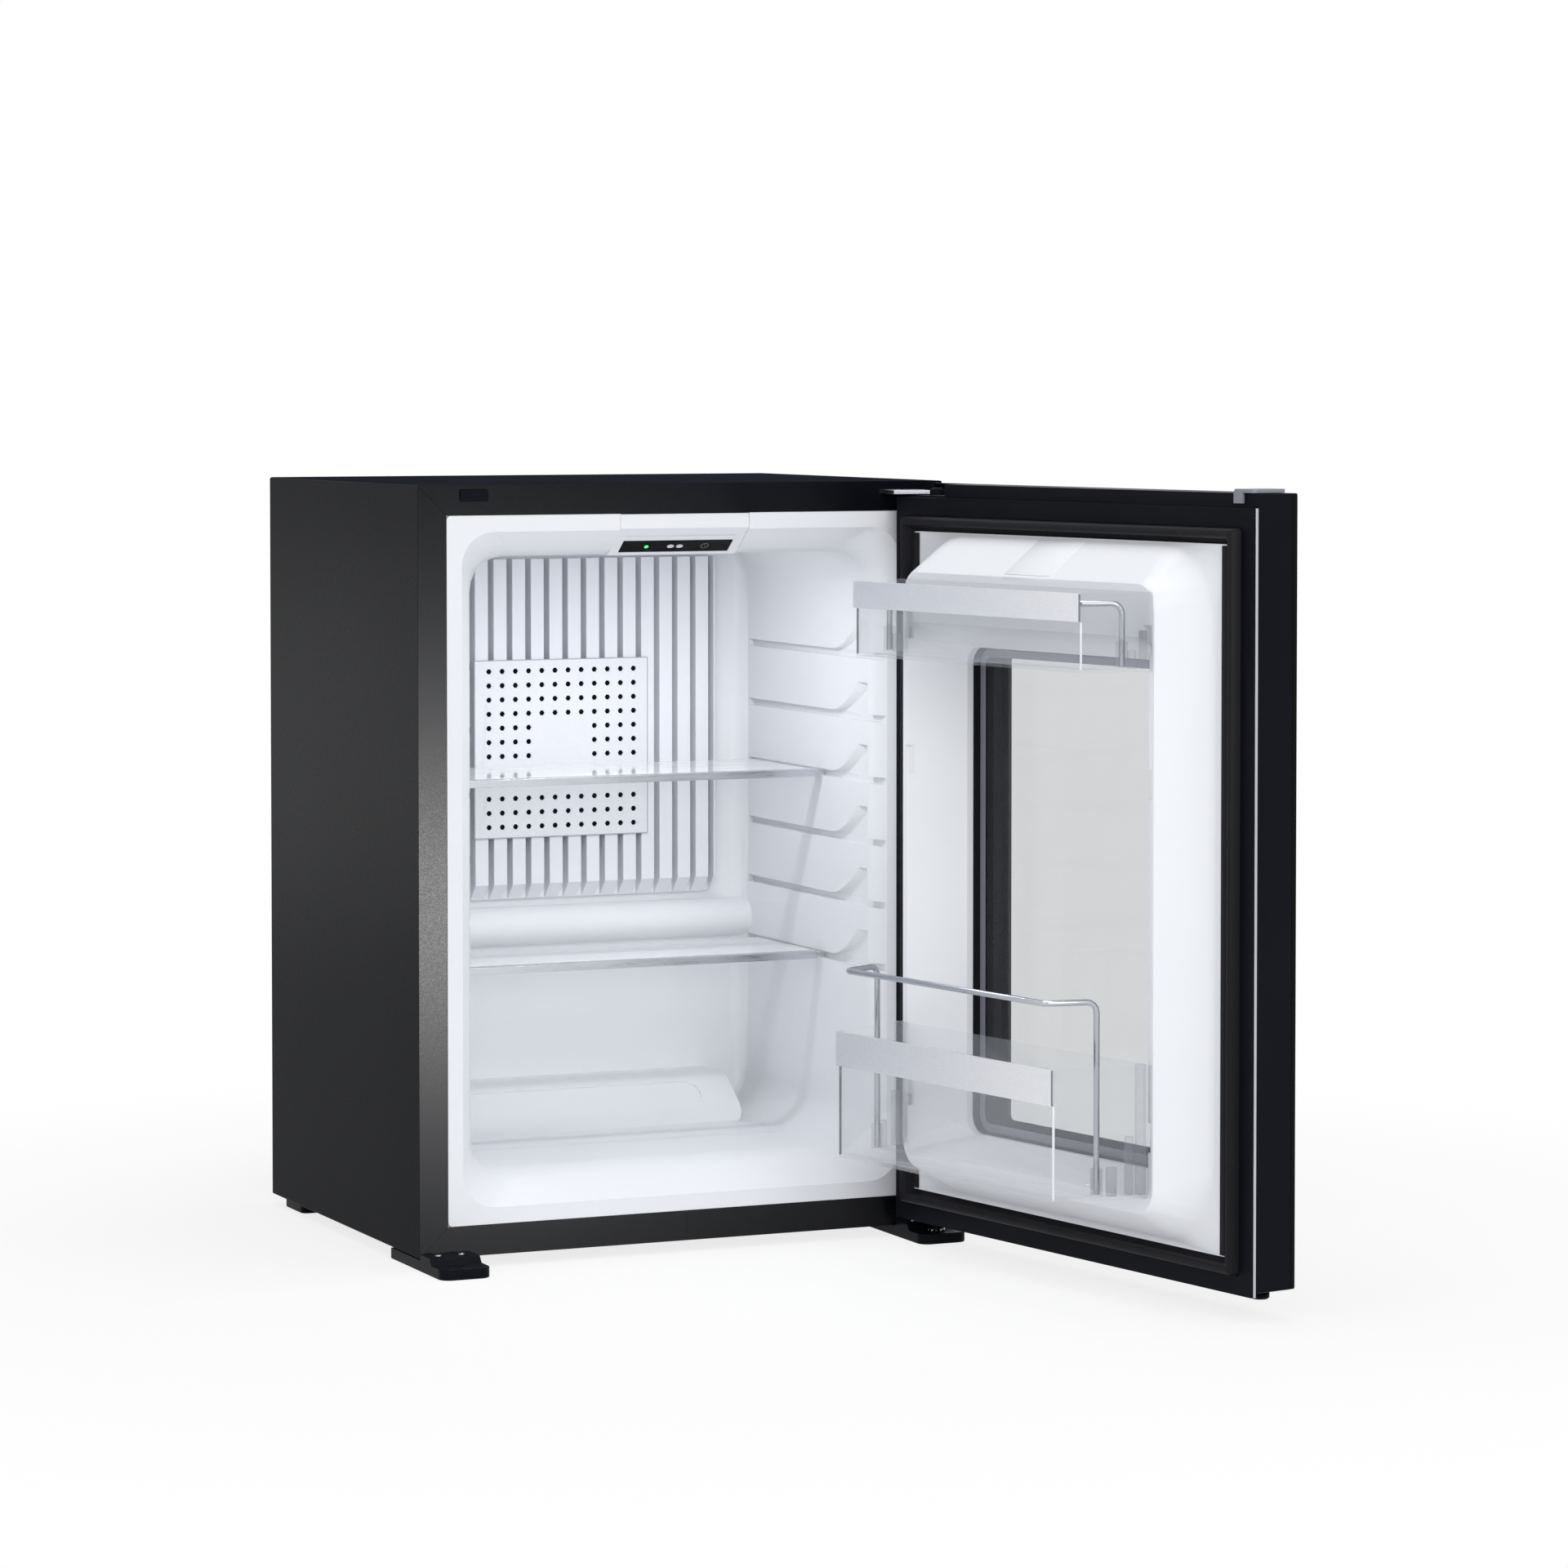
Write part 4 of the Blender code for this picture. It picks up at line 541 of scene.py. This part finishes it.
def make_board():
    """Green circuit board with a pattern of tracks."""
    made = Finish("green_board", (0.02, 0.20, 0.08), 0.45)
    tracks = made.node("ShaderNodeTexBrick", {}, {"Vector": made.place, "Scale": 260.0}, "Fac")
    made.set("Base Color", made.mix(tracks, (0.015, 0.16, 0.06), (0.03, 0.32, 0.13)))
    made.bump(tracks, 0.3, 0.0001)
    return made


# Grained finishes: name, dark and light tone, roughness, scale of the grain, its depth, change of gloss

coated_steel = make_coated_steel("black_coated_steel", 0.01, (0.0032, 0.0038, 0.0055),
                                 (0.0050, 0.0056, 0.0080))
# Painted light: a lighter copy of the coated steel without gloss for the wrap's top faces, standing in for
# the light that the top catches.
top_steel_painted_light = make_coated_steel("black_coated_top_painted_light", 0.0, (0.014, 0.015, 0.021), (0.018, 0.020, 0.027))
black_plastic = grained("black_plastic", (0.005, 0.0055, 0.008), (0.007, 0.0077, 0.011), 0.40, 1500.0,
                        0.00005, Specular_IOR_Level=0.04)
liner_plastic = grained("white_liner_plastic", (0.84, 0.852, 0.88), (0.86, 0.872, 0.895), 0.40, 1300.0,
                        0.00002, 0.05, Specular_IOR_Level=0.15)
white_coat = grained("white_coated_aluminium", (0.79, 0.805, 0.845), (0.83, 0.845, 0.88), 0.45, 900.0,
                     0.00002, 0.05, Specular_IOR_Level=0.12)
cover_paint = make_cover_paint()
grey_metal = grained("grey_metal", (0.20, 0.205, 0.24), (0.25, 0.255, 0.29), 0.38, 1100.0, 0.00004,
                     Specular_IOR_Level=0.4)
hinge_metal = grained("hinge_metal", (0.34, 0.345, 0.39), (0.42, 0.425, 0.47), 0.30, 1100.0, 0.00004,
                      0.06, Metallic=1.0)
spacer_metal = grained("dark_spacer", (0.008, 0.010, 0.016), (0.012, 0.014, 0.021), 0.35, 900.0,
                       0.00003, Specular_IOR_Level=0.1)
band_metal = make_brushed("band_aluminium", (0.86, 0.87, 0.90), OPEN_ANGLE, 0.34, "X", 0.07)
trim_metal = make_brushed("trim_aluminium", (0.62, 0.64, 0.68), 0.0, 0.30, "X", 0.03)
edge_metal = make_brushed("edge_aluminium", (0.52, 0.53, 0.58), 0.0, 0.30, "Z", 0.06)
wire_metal = grained("satin_chrome", (0.42, 0.44, 0.48), (0.50, 0.52, 0.56), 0.22, 700.0, 0.00003, 0.05,
                     Metallic=1.0)
screw_metal = grained("screw_steel", (0.30, 0.30, 0.33), (0.38, 0.38, 0.41), 0.30, 900.0, 0.00004, 0.06,
                      Metallic=1.0)
# The upper bin's plastic is a darker, denser copy of the lower's: painted shade, for the shade behind the
# upper bin.
upper_clear_painted_shade = make_clear("upper_bin_plastic_painted_shade", (0.72, 0.75, 0.81), 0.05, 0.40, 3.0, UPPER_BIN_LOW)
lower_clear = make_clear("lower_bin_plastic", (0.76, 0.79, 0.85), 0.04, 0.35, 3.0, LOWER_BIN_LOW)
# Painted shade: the bins' posts, ribs and sockets take a darker grey copy of the clear plastic, for their
# dark outlines.
clear_ribs_painted_shade = make_clear("clear_ribs_painted_shade", (0.48, 0.51, 0.57), 0.10, 0.75, 2.2)
# Painted shade and painted highlight: dark and bright copies of the clear plastic for the edge beads of the
# bins.
bead_painted_shade = make_clear("clear_bead_painted_shade", (0.10, 0.11, 0.13), 0.75, 0.95, 2.0)
bead_painted_highlight = make_clear("clear_bead_painted_highlight", (0.93, 0.94, 0.96), 0.80, 0.95, 2.0)
shelf_glass = make_shelf_glass()
window_glass = make_pane("window_glass", (0.97, 0.98, 0.98))
tinted_glass = make_pane("tinted_glass", (0.68, 0.685, 0.69), True)
gloss_black = grained("black_gloss", (0.003, 0.003, 0.004), (0.005, 0.005, 0.006), 0.16, 300.0, 0.00002,
                      0.03, Specular_IOR_Level=0.08)
# Painted shade: the black of the sheet behind the cover's holes.
hole_painted_shade = grained("hole_painted_shade", (0.004, 0.004, 0.005), (0.007, 0.007, 0.008), 0.8, 900.0, 0.00002,
                     0.05, Specular_IOR_Level=0.05)
rubber = make_rubber()
unit_paint = grained("black_unit_paint", (0.012, 0.012, 0.014), (0.022, 0.022, 0.024), 0.44, 500.0,
                     0.0001, Specular_IOR_Level=0.35)
galvanised = make_galvanised()
foam_finish = make_foam()
board_finish = make_board()
lens_finish = make_glow("lamp_lens", (0.93, 0.96, 1.0), 2.0)
green_glow = make_glow("green_light", (0.06, 0.95, 0.16), 1.6)
mark_white = grained("white_marks", (0.66, 0.68, 0.72), (0.78, 0.80, 0.84), 0.4, 800.0, 0.00002)
mark_grey = grained("grey_marks", (0.16, 0.16, 0.18), (0.22, 0.22, 0.24), 0.4, 800.0, 0.00002)


def dress(piece, finish, body):
    """Gives a piece its finish and the body that it rides on."""
    piece.data.materials.clear()
    piece.data.materials.append(finish.material)
    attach(piece, body)


# The solids, each with its edges softened or its curves smoothed

def even_shading(piece):
    """Lets the large flat faces keep their own shading beside narrow rounded ones."""
    modifier = piece.modifiers.new("even_shading", "WEIGHTED_NORMAL")
    modifier.keep_sharp = True
    modifier.weight = 80
    apply_modifiers(piece)


def refined(node, finish, body, bevel, angle, flat):
    """A copy of a solid that is merged, softened at its edges and smoothed, in the solid's place."""
    piece = nodes[node].copy()
    piece.data = nodes[node].data.copy()
    for key in list(piece.keys()):
        del piece[key]
    piece.name = node + "_form"
    piece.parent = None
    bpy.context.scene.collection.objects.link(piece)
    select_only(piece)
    bpy.ops.object.mode_set(mode="EDIT")
    bpy.ops.mesh.select_all(action="SELECT")
    bpy.ops.mesh.remove_doubles(threshold=MERGE_DISTANCE)
    if flat:
        bpy.ops.mesh.dissolve_limited(angle_limit=math.radians(0.5))
    bpy.ops.mesh.normals_make_consistent(inside=False)
    bpy.ops.object.mode_set(mode="OBJECT")
    if bevel:
        bevel_edges(piece, bevel, angle=angle)
    smooth_by_angle(piece, angle)
    if flat:
        even_shading(piece)
    dress(piece, finish, body)
    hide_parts(node)
    return piece


CAB, DOOR = "cabinet", "door"
UPPER_SHELF, LOWER_SHELF = "upper_shelf_body", "lower_shelf_body"
UPPER_BIN, LOWER_BIN, RAIL = "upper_bin_body", "lower_bin_body", "bottle_rail_body"

# Solids with flat faces: node, finish, body, slot, width of the bevel, angle of an edge in degrees
REFINED = [
    ("outer_wrap", coated_steel, CAB, "black_coated_steel", 0.0002, 40),
    ("back_panel", galvanised, CAB, "galvanised_steel", 0.0001, 40),
    ("lamp_housing", liner_plastic, CAB, "white_liner_plastic", 0.0004, 30),
    ("control_strip", gloss_black, CAB, "black_glass", 0.0002, 30),
    ("status_light", gloss_black, CAB, "green_light", 0.0002, 30),
    ("lamp_lens", lens_finish, CAB, "lamp_lens", 0.0006, 30),
    ("evaporator_fins", white_coat, CAB, "white_coated_aluminium", 0.0008, 30),
    ("inner_liner", liner_plastic, CAB, "white_liner_plastic", 0.0, 30),
    ("door_liner", liner_plastic, DOOR, "white_liner_plastic", 0.0, 30),
    ("front_foot_left", black_plastic, CAB, "black_plastic", 0.0005, 30),
    ("front_foot_right", black_plastic, CAB, "black_plastic", 0.0005, 30),
    ("rear_foot_left", black_plastic, CAB, "black_plastic", 0.0006, 30),
    ("rear_foot_right", black_plastic, CAB, "black_plastic", 0.0006, 30),
    ("top_hinge_plate", hinge_metal, CAB, "grey_metal", 0.0003, 30),
    ("hinge_slot_cover", black_plastic, CAB, "black_plastic", 0.0002, 30),
    ("boiler_jacket", galvanised, CAB, "galvanised_steel", 0.0006, 30),
    ("condenser_bracket", galvanised, CAB, "galvanised_steel", 0.0003, 30),
    ("tank_bracket", galvanised, CAB, "galvanised_steel", 0.0003, 30),
    ("electronics_box", black_plastic, CAB, "black_plastic", 0.0006, 30),
    ("power_inlet", black_plastic, CAB, "black_plastic", 0.0003, 30),
    ("door_outer_frame", black_plastic, DOOR, "black_plastic", 0.0004, 30),
    ("door_edge_trim", edge_metal, DOOR, "brushed_aluminium", 0.00015, 30),
    ("front_glass", tinted_glass, DOOR, "tinted_glass", 0.0003, 30),
    ("inner_glass", window_glass, DOOR, "clear_glass", 0.0002, 30),
    ("hinge_recess_cap", grey_metal, DOOR, "grey_metal", 0.0004, 30),
    ("upper_shelf_glass", shelf_glass, UPPER_SHELF, "clear_glass", 0.0005, 30),
    ("upper_shelf_trim", trim_metal, UPPER_SHELF, "brushed_aluminium", 0.0002, 30),
    ("lower_shelf_glass", shelf_glass, LOWER_SHELF, "clear_glass", 0.0005, 30),
    ("lower_shelf_trim", trim_metal, LOWER_SHELF, "brushed_aluminium", 0.0002, 30),
    ("upper_bin_band", band_metal, UPPER_BIN, "brushed_aluminium", 0.0001, 30),
    ("lower_bin_band", band_metal, LOWER_BIN, "brushed_aluminium", 0.0001, 30),
]
# Solids with curved faces: node, finish, body, slot, angle of an edge in degrees
SMOOTHED = [
    ("perforated_cover", cover_paint, CAB, "white_coated_aluminium", 30),
    ("door_gasket", rubber, DOOR, "black_rubber", 30),
    ("glass_spacer", spacer_metal, DOOR, "grey_metal", 30),
    ("upper_hinge_bush", liner_plastic, DOOR, "white_liner_plastic", 30),
    ("lower_hinge_bush", black_plastic, DOOR, "black_plastic", 30),
    ("spare_bush_plug", black_plastic, DOOR, "black_plastic", 30),
    # The top hinge pin is bright steel but takes black plastic: painted shade, for the shade in the hinge's
    # recess.
    ("top_hinge_pin", black_plastic, CAB, "bright_steel", 30),
    ("lower_hinge_pin", screw_metal, CAB, "bright_steel", 30),
    ("foot_screw_1", screw_metal, CAB, "bright_steel", 30),
    ("foot_screw_2", screw_metal, CAB, "bright_steel", 30),
    ("foot_screw_3", screw_metal, CAB, "bright_steel", 30),
    ("foot_screw_4", screw_metal, CAB, "bright_steel", 30),
    ("upper_bin", upper_clear_painted_shade, UPPER_BIN, "clear_plastic", 40),
    ("lower_bin", lower_clear, LOWER_BIN, "clear_plastic", 40),
    ("upper_bin_wire", wire_metal, UPPER_BIN, "bright_steel", 50),
    ("bottle_rail", wire_metal, RAIL, "bright_steel", 50),
    ("condenser", unit_paint, CAB, "black_unit_paint", 50),
    ("absorber_coil", unit_paint, CAB, "black_unit_paint", 50),
    ("receiver_tank", unit_paint, CAB, "black_unit_paint", 50),
    ("liquid_pipe", unit_paint, CAB, "black_unit_paint", 50),
    ("evaporator_pipe", unit_paint, CAB, "black_unit_paint", 50),
    ("heater_cartridge", screw_metal, CAB, "bright_steel", 50),
]
# Solids that are out of view, which keep their own mesh
HIDDEN = [("foam_insulation", foam_finish), ("door_foam", foam_finish), ("control_board", board_finish)]

for node, finish, body, slot_name, bevel, angle in REFINED:
    piece = refined(node, finish, body, bevel, angle, True)
    if node == "outer_wrap":
        # The wrap's faces that look up take the lighter top copy: painted light.
        piece.data.materials.append(top_steel_painted_light.material)
        for face in piece.data.polygons:
            face.material_index = int(face.normal.z > 0.9)
for node, finish, body, slot_name, angle in SMOOTHED:
    refined(node, finish, body, 0.0, angle, False)
for node, finish in HIDDEN:
    nodes[node].data.materials.clear()
    nodes[node].data.materials.append(finish.material)


# Fine pieces that the solids leave out

def on_housing(piece, aside):
    """Lays a piece that faces up on the middle of the slanted face of the lamp housing."""
    knee = Vector((0.0, 0.0007, 0.507))
    foot = Vector((0.0, 0.026, 0.4875))
    strip_middle = 0.0218
    down = (foot - knee).normalized()
    outward = down.cross(Vector((1, 0, 0)))
    turn = Matrix((down.cross(outward), down, outward)).transposed().to_4x4()
    spot = knee + down * strip_middle + Vector((WIDTH / 2 + aside, 0, 0))
    piece.data.transform(Matrix.Translation(CABINET + spot) @ turn)
    return piece


def strip_marks():
    """A round light, two oval key marks and a power ring with its bar on the control strip."""
    light_aside, power_aside = -0.0228, 0.0222
    light = disc("round_light", (0, 0, 0), 0.0015, 0.0005, 0.0002)
    dress(on_housing(light, light_aside), green_glow, CAB)
    for number, aside in ((1, -0.0042), (2, 0.0028)):
        mark = disc("key_mark_%d" % number, (0, 0, 0), 0.0026, 0.00025)
        mark.data.transform(Matrix.Diagonal((1.0, 0.72, 1.0, 1.0)))
        dress(on_housing(mark, aside), mark_white, CAB)
    ring = hoop("power_ring", 0.0027, 0.00022, 32)
    dress(on_housing(ring, power_aside), mark_grey, CAB)
    bar = block("power_bar", (-0.00022, -0.0014, 0), (0.00022, 0.0004, 0.00022), 0.00005, 1)
    dress(on_housing(bar, power_aside), mark_grey, CAB)


def window_rings():
    """The dark print on the front pane, the seal of the window and the band on the inner pane."""
    for name, outer, inner, radius, back, front, finish, slot_name in (
            ("printed_border", 0.0610, -0.0044, 0.004, -0.03325, -0.0331, gloss_black, "black_glass"),
            ("window_seal", 0.0002, -0.0009, 0.013, -0.0118, -0.0062, rubber, "black_rubber"),
            ("pane_band", -0.0010, -0.0070, 0.013, -0.01195, -0.01175, grey_metal, "grey_metal")):
        dress(window_ring(name, outer, inner, radius, back, front), finish, DOOR)


def hinge_collar():
    """A black collar round the eye of the top hinge, open where the hinge plate comes in."""
    foot, hole_low, hole_high = 0.5297, 0.520, 0.540
    collar = disc("hinge_collar", (HINGE.x, HINGE.y, foot), 0.0090, 0.0037, 0.0, 32)
    cut_out(collar, disc("hole", (HINGE.x, HINGE.y, hole_low), 0.0076, hole_high - hole_low, 0.0, 32))
    cut_out(collar, block("slot", (HINGE.x - 0.035, HINGE.y + 0.0015, hole_low),
                          (HINGE.x - 0.001, HINGE.y + 0.02, hole_high)))
    bevel_edges(collar, 0.0003, 2, 50)
    smooth_by_angle(collar, 40)
    dress(to_cabinet(collar), black_plastic, CAB)


def liner_insert():
    """The smooth insert on the upper slope of the door's liner, with its lip on the ridge."""
    near, far = 0.176, 0.227
    low = Vector((0, at_k(0.0345), 0.4788))
    high = Vector((0, at_k(0.0040), 0.5018))
    slope = high - low
    half = (far - near) / 2
    plate = block("liner_insert", (-half, 0, -0.0003), (half, slope.length, 0.0004), 0.0002)
    plate.data.transform(Matrix.Translation((WIDTH - (near + far) / 2, low.y, low.z))
                         @ Matrix.Rotation(math.atan2(slope.z, slope.y), 4, "X"))
    dress(to_door(plate), liner_plastic, DOOR)
    lip = door_block("liner_insert_lip", near + 0.001, far - 0.001, 0.0358, 0.0361, 0.4752, 0.4772, 0.0001)
    dress(lip, liner_plastic, DOOR)


def bin_posts():
    """Clear posts, ribs, sockets and edge beads in the corners of the bins, the same in shape at both ends;
    the beads carry a painted highlight at the far end and painted shade at the near end.
    """
    for end in ("near", "far"):
        # Name, body, distance along the door, back and front rise, half width, low and high
        for name, body, along, back, front, half, low, high in (
                ("lower_bin_post", LOWER_BIN, 0.3390, 0.0400, 0.0450, 0.0032, 0.0732, 0.1600),
                ("lower_bin_rib", LOWER_BIN, 0.3350, 0.0470, 0.0510, 0.0026, 0.0732, 0.1120),
                ("upper_bin_post", UPPER_BIN, 0.3400, 0.0402, 0.0440, 0.0026, 0.4218, 0.4470)):
            place = along if end == "far" else WIDTH - along
            piece = door_block(name + "_" + end, place - half, place + half, back, front, low, high, 0.0006)
            dress(piece, clear_ribs_painted_shade, body)
        # The beads at the far end take the painted highlight and those at the near end the painted shade.
        edge = bead_painted_highlight if end == "far" else bead_painted_shade
        # Name, body, distance along the door, rise, foot, radius, length, finish
        for name, body, along, rise, low, radius, length, finish in (
                ("lower_bin_socket", LOWER_BIN, 0.3330, 0.0620, 0.0732, 0.0036, 0.0190, clear_ribs_painted_shade),
                ("upper_bin_socket", UPPER_BIN, 0.3350, 0.0480, 0.4218, 0.0030, 0.0120, clear_ribs_painted_shade),
                ("lower_bin_bead", LOWER_BIN, 0.3243, 0.1034, 0.0725, 0.0009, 0.0620, edge),
                ("upper_bin_bead", UPPER_BIN, 0.3293, 0.0854, 0.4212, 0.0008, 0.0316, edge)):
            place = along if end == "far" else WIDTH - along
            piece = door_post(name + "_" + end, place, rise, low, radius, length)
            dress(piece, finish, body)


def band_ends():
    """The dark folded end of each bin's metal band."""
    for name, body, near, front, low, high in (
            ("lower_band_end", LOWER_BIN, 0.3252, 0.1053, 0.1352, 0.1588),
            ("upper_band_end", UPPER_BIN, 0.3302, 0.0873, 0.4534, 0.4718)):
        piece = door_block(name, near, near + 0.0009, front, front + 0.0011, low, high, 0.0002)
        dress(piece, grey_metal, body)


def gasket_lips():
    """The soft inner lip of the gasket, which covers the rim of the liner at both sides of the door."""
    for side, near, far in (("hinge", 0.0238, 0.0318), ("free", WIDTH - 0.0290, WIDTH - 0.0238)):
        lip = door_block("gasket_lip_" + side, near, far, 0.0024, 0.0034, 0.0340, 0.5030, 0.0003)
        dress(lip, rubber, DOOR)


def shade_sheet_behind_cover():
    """A dark sheet behind the perforated cover, in the thin space in front of the fins: painted shade, so
    that the holes look dark.
    """
    inset, gap = 0.001, 0.0001
    low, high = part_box("perforated_cover")
    sheet = block("shade_sheet_behind_cover", (low[0] + inset, high[1] + gap, low[2] + inset),
                  (high[0] - inset, high[1] + 2 * gap, high[2] - inset))
    dress(sheet, hole_painted_shade, CAB)


def screw(name, centre, radius):
    """A domed screw with a cross recess, its head facing the back."""
    slot_reach, slot_half = radius * 0.62, 0.00035
    head = disc(name, (0, 0, 0), radius, 0.0013, 0.0004)
    for turn in (0, 90):
        slot = block("slot", (-slot_reach, -slot_half, 0.0007), (slot_reach, slot_half, 0.0030))
        slot.data.transform(Matrix.Rotation(math.radians(turn), 4, "Z"))
        cut_out(head, slot)
    head.data.transform(Matrix.Translation(centre) @ Matrix.Rotation(math.radians(-90), 4, "X"))
    smooth_by_angle(head, 40)
    dress(to_cabinet(head), screw_metal, CAB)


def back_details():
    """Screws of the back panel and the box, the cooling ribs of the box and the seam beads of the tank."""
    edge = 0.012
    corners = (edge, HEIGHT - edge)
    places = [(x, z) for x in (edge, WIDTH / 2, WIDTH - edge) for z in (edge, 0.190, 0.360, HEIGHT - edge)
              if x != WIDTH / 2 or z in corners]
    for number, (x, z) in enumerate(places, 1):
        screw("panel_screw_%d" % number, (x, DEPTH + 0.0001, z), 0.0032)
    low, high = (Vector(v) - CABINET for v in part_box("electronics_box"))
    for number, (x, z) in enumerate(((0.008, 0.008), (0.112, 0.008), (0.008, 0.044), (0.112, 0.044)), 1):
        screw("box_screw_%d" % number, (low.x + x, high.y - 0.0002, low.z + z), 0.0026)
    first_rib, rib_pitch, rib_width = 0.028, 0.008, 0.0035
    for i in range(9):
        x = low.x + first_rib + i * rib_pitch
        rib = block("box_rib_%d" % (i + 1), (x, high.y - 0.0004, low.z + 0.014),
                    (x + rib_width, high.y + 0.0010, low.z + 0.038), 0.0004)
        dress(to_cabinet(rib), black_plastic, CAB)
    low, high = (Vector(v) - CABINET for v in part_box("receiver_tank"))
    middle = (low + high) / 2
    radius = (high.z - low.z) / 2
    for number, x in ((1, low.x + 0.024), (2, high.x - 0.024)):
        bead = hoop("tank_bead_%d" % number, radius, 0.0014, 48, (x, middle.y, middle.z),
                    (0, math.radians(90), 0))
        dress(to_cabinet(bead), unit_paint, CAB)


strip_marks()
window_rings()
hinge_collar()
liner_insert()
bin_posts()
band_ends()
gasket_lips()
shade_sheet_behind_cover()
back_details()


# Stage, light and camera

def seen_rays(tree):
    """One for camera, glossy and transmitted rays, and nought for the light on the object."""
    camera, glossy, transmitted = (add_node(tree, "ShaderNodeLightPath", {}, [], name)
                                   for name in ("Is Camera Ray", "Is Glossy Ray", "Is Transmission Ray"))
    return camera.most(glossy).most(transmitted)


def make_floor():
    """The floor: it keeps the object's soft shadow, and turns to the background's white further off."""
    made = Finish("studio_floor", (0.93, 0.93, 0.935), 0.75, Specular_IOR_Level=0.1)
    flat = made.node("ShaderNodeVectorMath", {"operation": "MULTIPLY"}, {0: made.place, 1: (1.0, 1.0, 0.0)})
    away = made.node("ShaderNodeVectorMath", {"operation": "LENGTH"}, {0: flat}, "Value")
    white = made.node("ShaderNodeMapRange", {"interpolation_type": "SMOOTHSTEP"},
                      {"Value": away, "From Min": GLOW_NEAR, "From Max": GLOW_FAR, "To Min": FLOOR_GLOW,
                       "To Max": 1.0}, "Result")
    glow = made.node("ShaderNodeEmission", {}, {"Color": (*STUDIO_WHITE, 1.0), "Strength": 1.0})
    lit = Value(made.tree, made.shader.outputs["BSDF"])
    blend = made.node("ShaderNodeMixShader", {}, [seen_rays(made.tree) * white, lit, glow])
    made.tree.links.new(blend.socket, made.tree.nodes["Material Output"].inputs["Surface"])
    return made.material


def add_floor():
    select_none()
    bpy.ops.mesh.primitive_plane_add(size=FLOOR_SIZE, location=(0, 0, 0))
    floor = newly_made("studio_floor")
    floor.data.materials.append(make_floor())


def add_world():
    """A soft even light, which is seen as plain white."""
    world = bpy.data.worlds.new("studio")
    bpy.context.scene.world = world
    world.use_nodes = True
    tree = world.node_tree
    background = tree.nodes["Background"]
    background.inputs["Color"].default_value = (*WORLD_COLOUR, 1.0)
    background.inputs["Strength"].default_value = WORLD_STRENGTH
    light = Value(tree, background.outputs["Background"])
    white = add_node(tree, "ShaderNodeBackground", {}, {"Color": (*STUDIO_WHITE, 1.0), "Strength": 1.0})
    blend = add_node(tree, "ShaderNodeMixShader", {}, [seen_rays(tree), light, white])
    tree.links.new(blend.socket, tree.nodes["World Output"].inputs["Surface"])


def add_area(name, place, target, size, power, colour=STUDIO_WHITE):
    """A rectangular lamp at a place, turned to a target."""
    lamp = bpy.data.lights.new(name, "AREA")
    lamp.shape = "RECTANGLE"
    lamp.size, lamp.size_y = size
    lamp.energy = power
    lamp.color = colour
    made = bpy.data.objects.new(name, lamp)
    made.location = place
    made.rotation_euler = (Vector(target) - Vector(place)).to_track_quat("-Z", "Y").to_euler()
    bpy.context.scene.collection.objects.link(made)
    return made


def add_sheen(name, place, target, size, power, receivers):
    """A lamp that only shows as a soft sheen on the black coated cabinet."""
    lamp = add_area(name, place, target, size, power)
    lamp.visible_diffuse = False
    lamp.visible_transmission = False
    lamp.light_linking.receiver_collection = receivers


def add_lights():
    """Three softboxes, the lamp inside the cabinet and two lamps for the sheen of the black steel."""
    add_area("front_softbox", (-0.4, -2.7, 1.25), (0.0, 0.1, 0.28), (1.8, 1.3), 33)
    add_area("left_softbox", (-2.4, -1.1, 1.3), (0.0, 0.1, 0.3), (1.2, 1.4), 6)
    add_area("top_softbox", (0.0, 0.0, 2.4), (0.0, 0.1, 0.3), (1.4, 1.4), 20)
    lens = CABINET + Vector((WIDTH / 2, 0.034, 0.484))
    add_area("cabinet_lamp", lens, lens + Vector((0, 0.25, -1)), (0.085, 0.008), 0.27, (0.95, 0.97, 1.0))
    black_cabinet = bpy.data.collections.new("black_cabinet")
    black_cabinet.objects.link(bpy.data.objects["outer_wrap_form"])
    add_sheen("flange_sheen", (0.34, -1.51, 0.085), (-0.22, 0.0, 0.25), (0.25, 0.12), 210, black_cabinet)
    add_sheen("side_sheen", (-1.1, 2.35, 0.10), (-0.233, 0.1, 0.3), (0.6, 0.6), 1.6, black_cabinet)


def add_camera():
    """The camera of the photograph."""
    lens = bpy.data.cameras.new("camera")
    lens.lens = CAMERA_LENS
    lens.sensor_width = CAMERA_SENSOR
    lens.shift_y = CAMERA_SHIFT
    lens.clip_start = 0.05
    camera = bpy.data.objects.new("camera", lens)
    camera.location = CAMERA_PLACE
    camera.rotation_euler = CAMERA_TURN
    bpy.context.scene.collection.objects.link(camera)
    bpy.context.scene.camera = camera


add_floor()
add_world()
add_lights()
add_camera()
bpy.context.scene.view_settings.view_transform = "Standard"

object_mode()
bpy.context.view_layer.update()
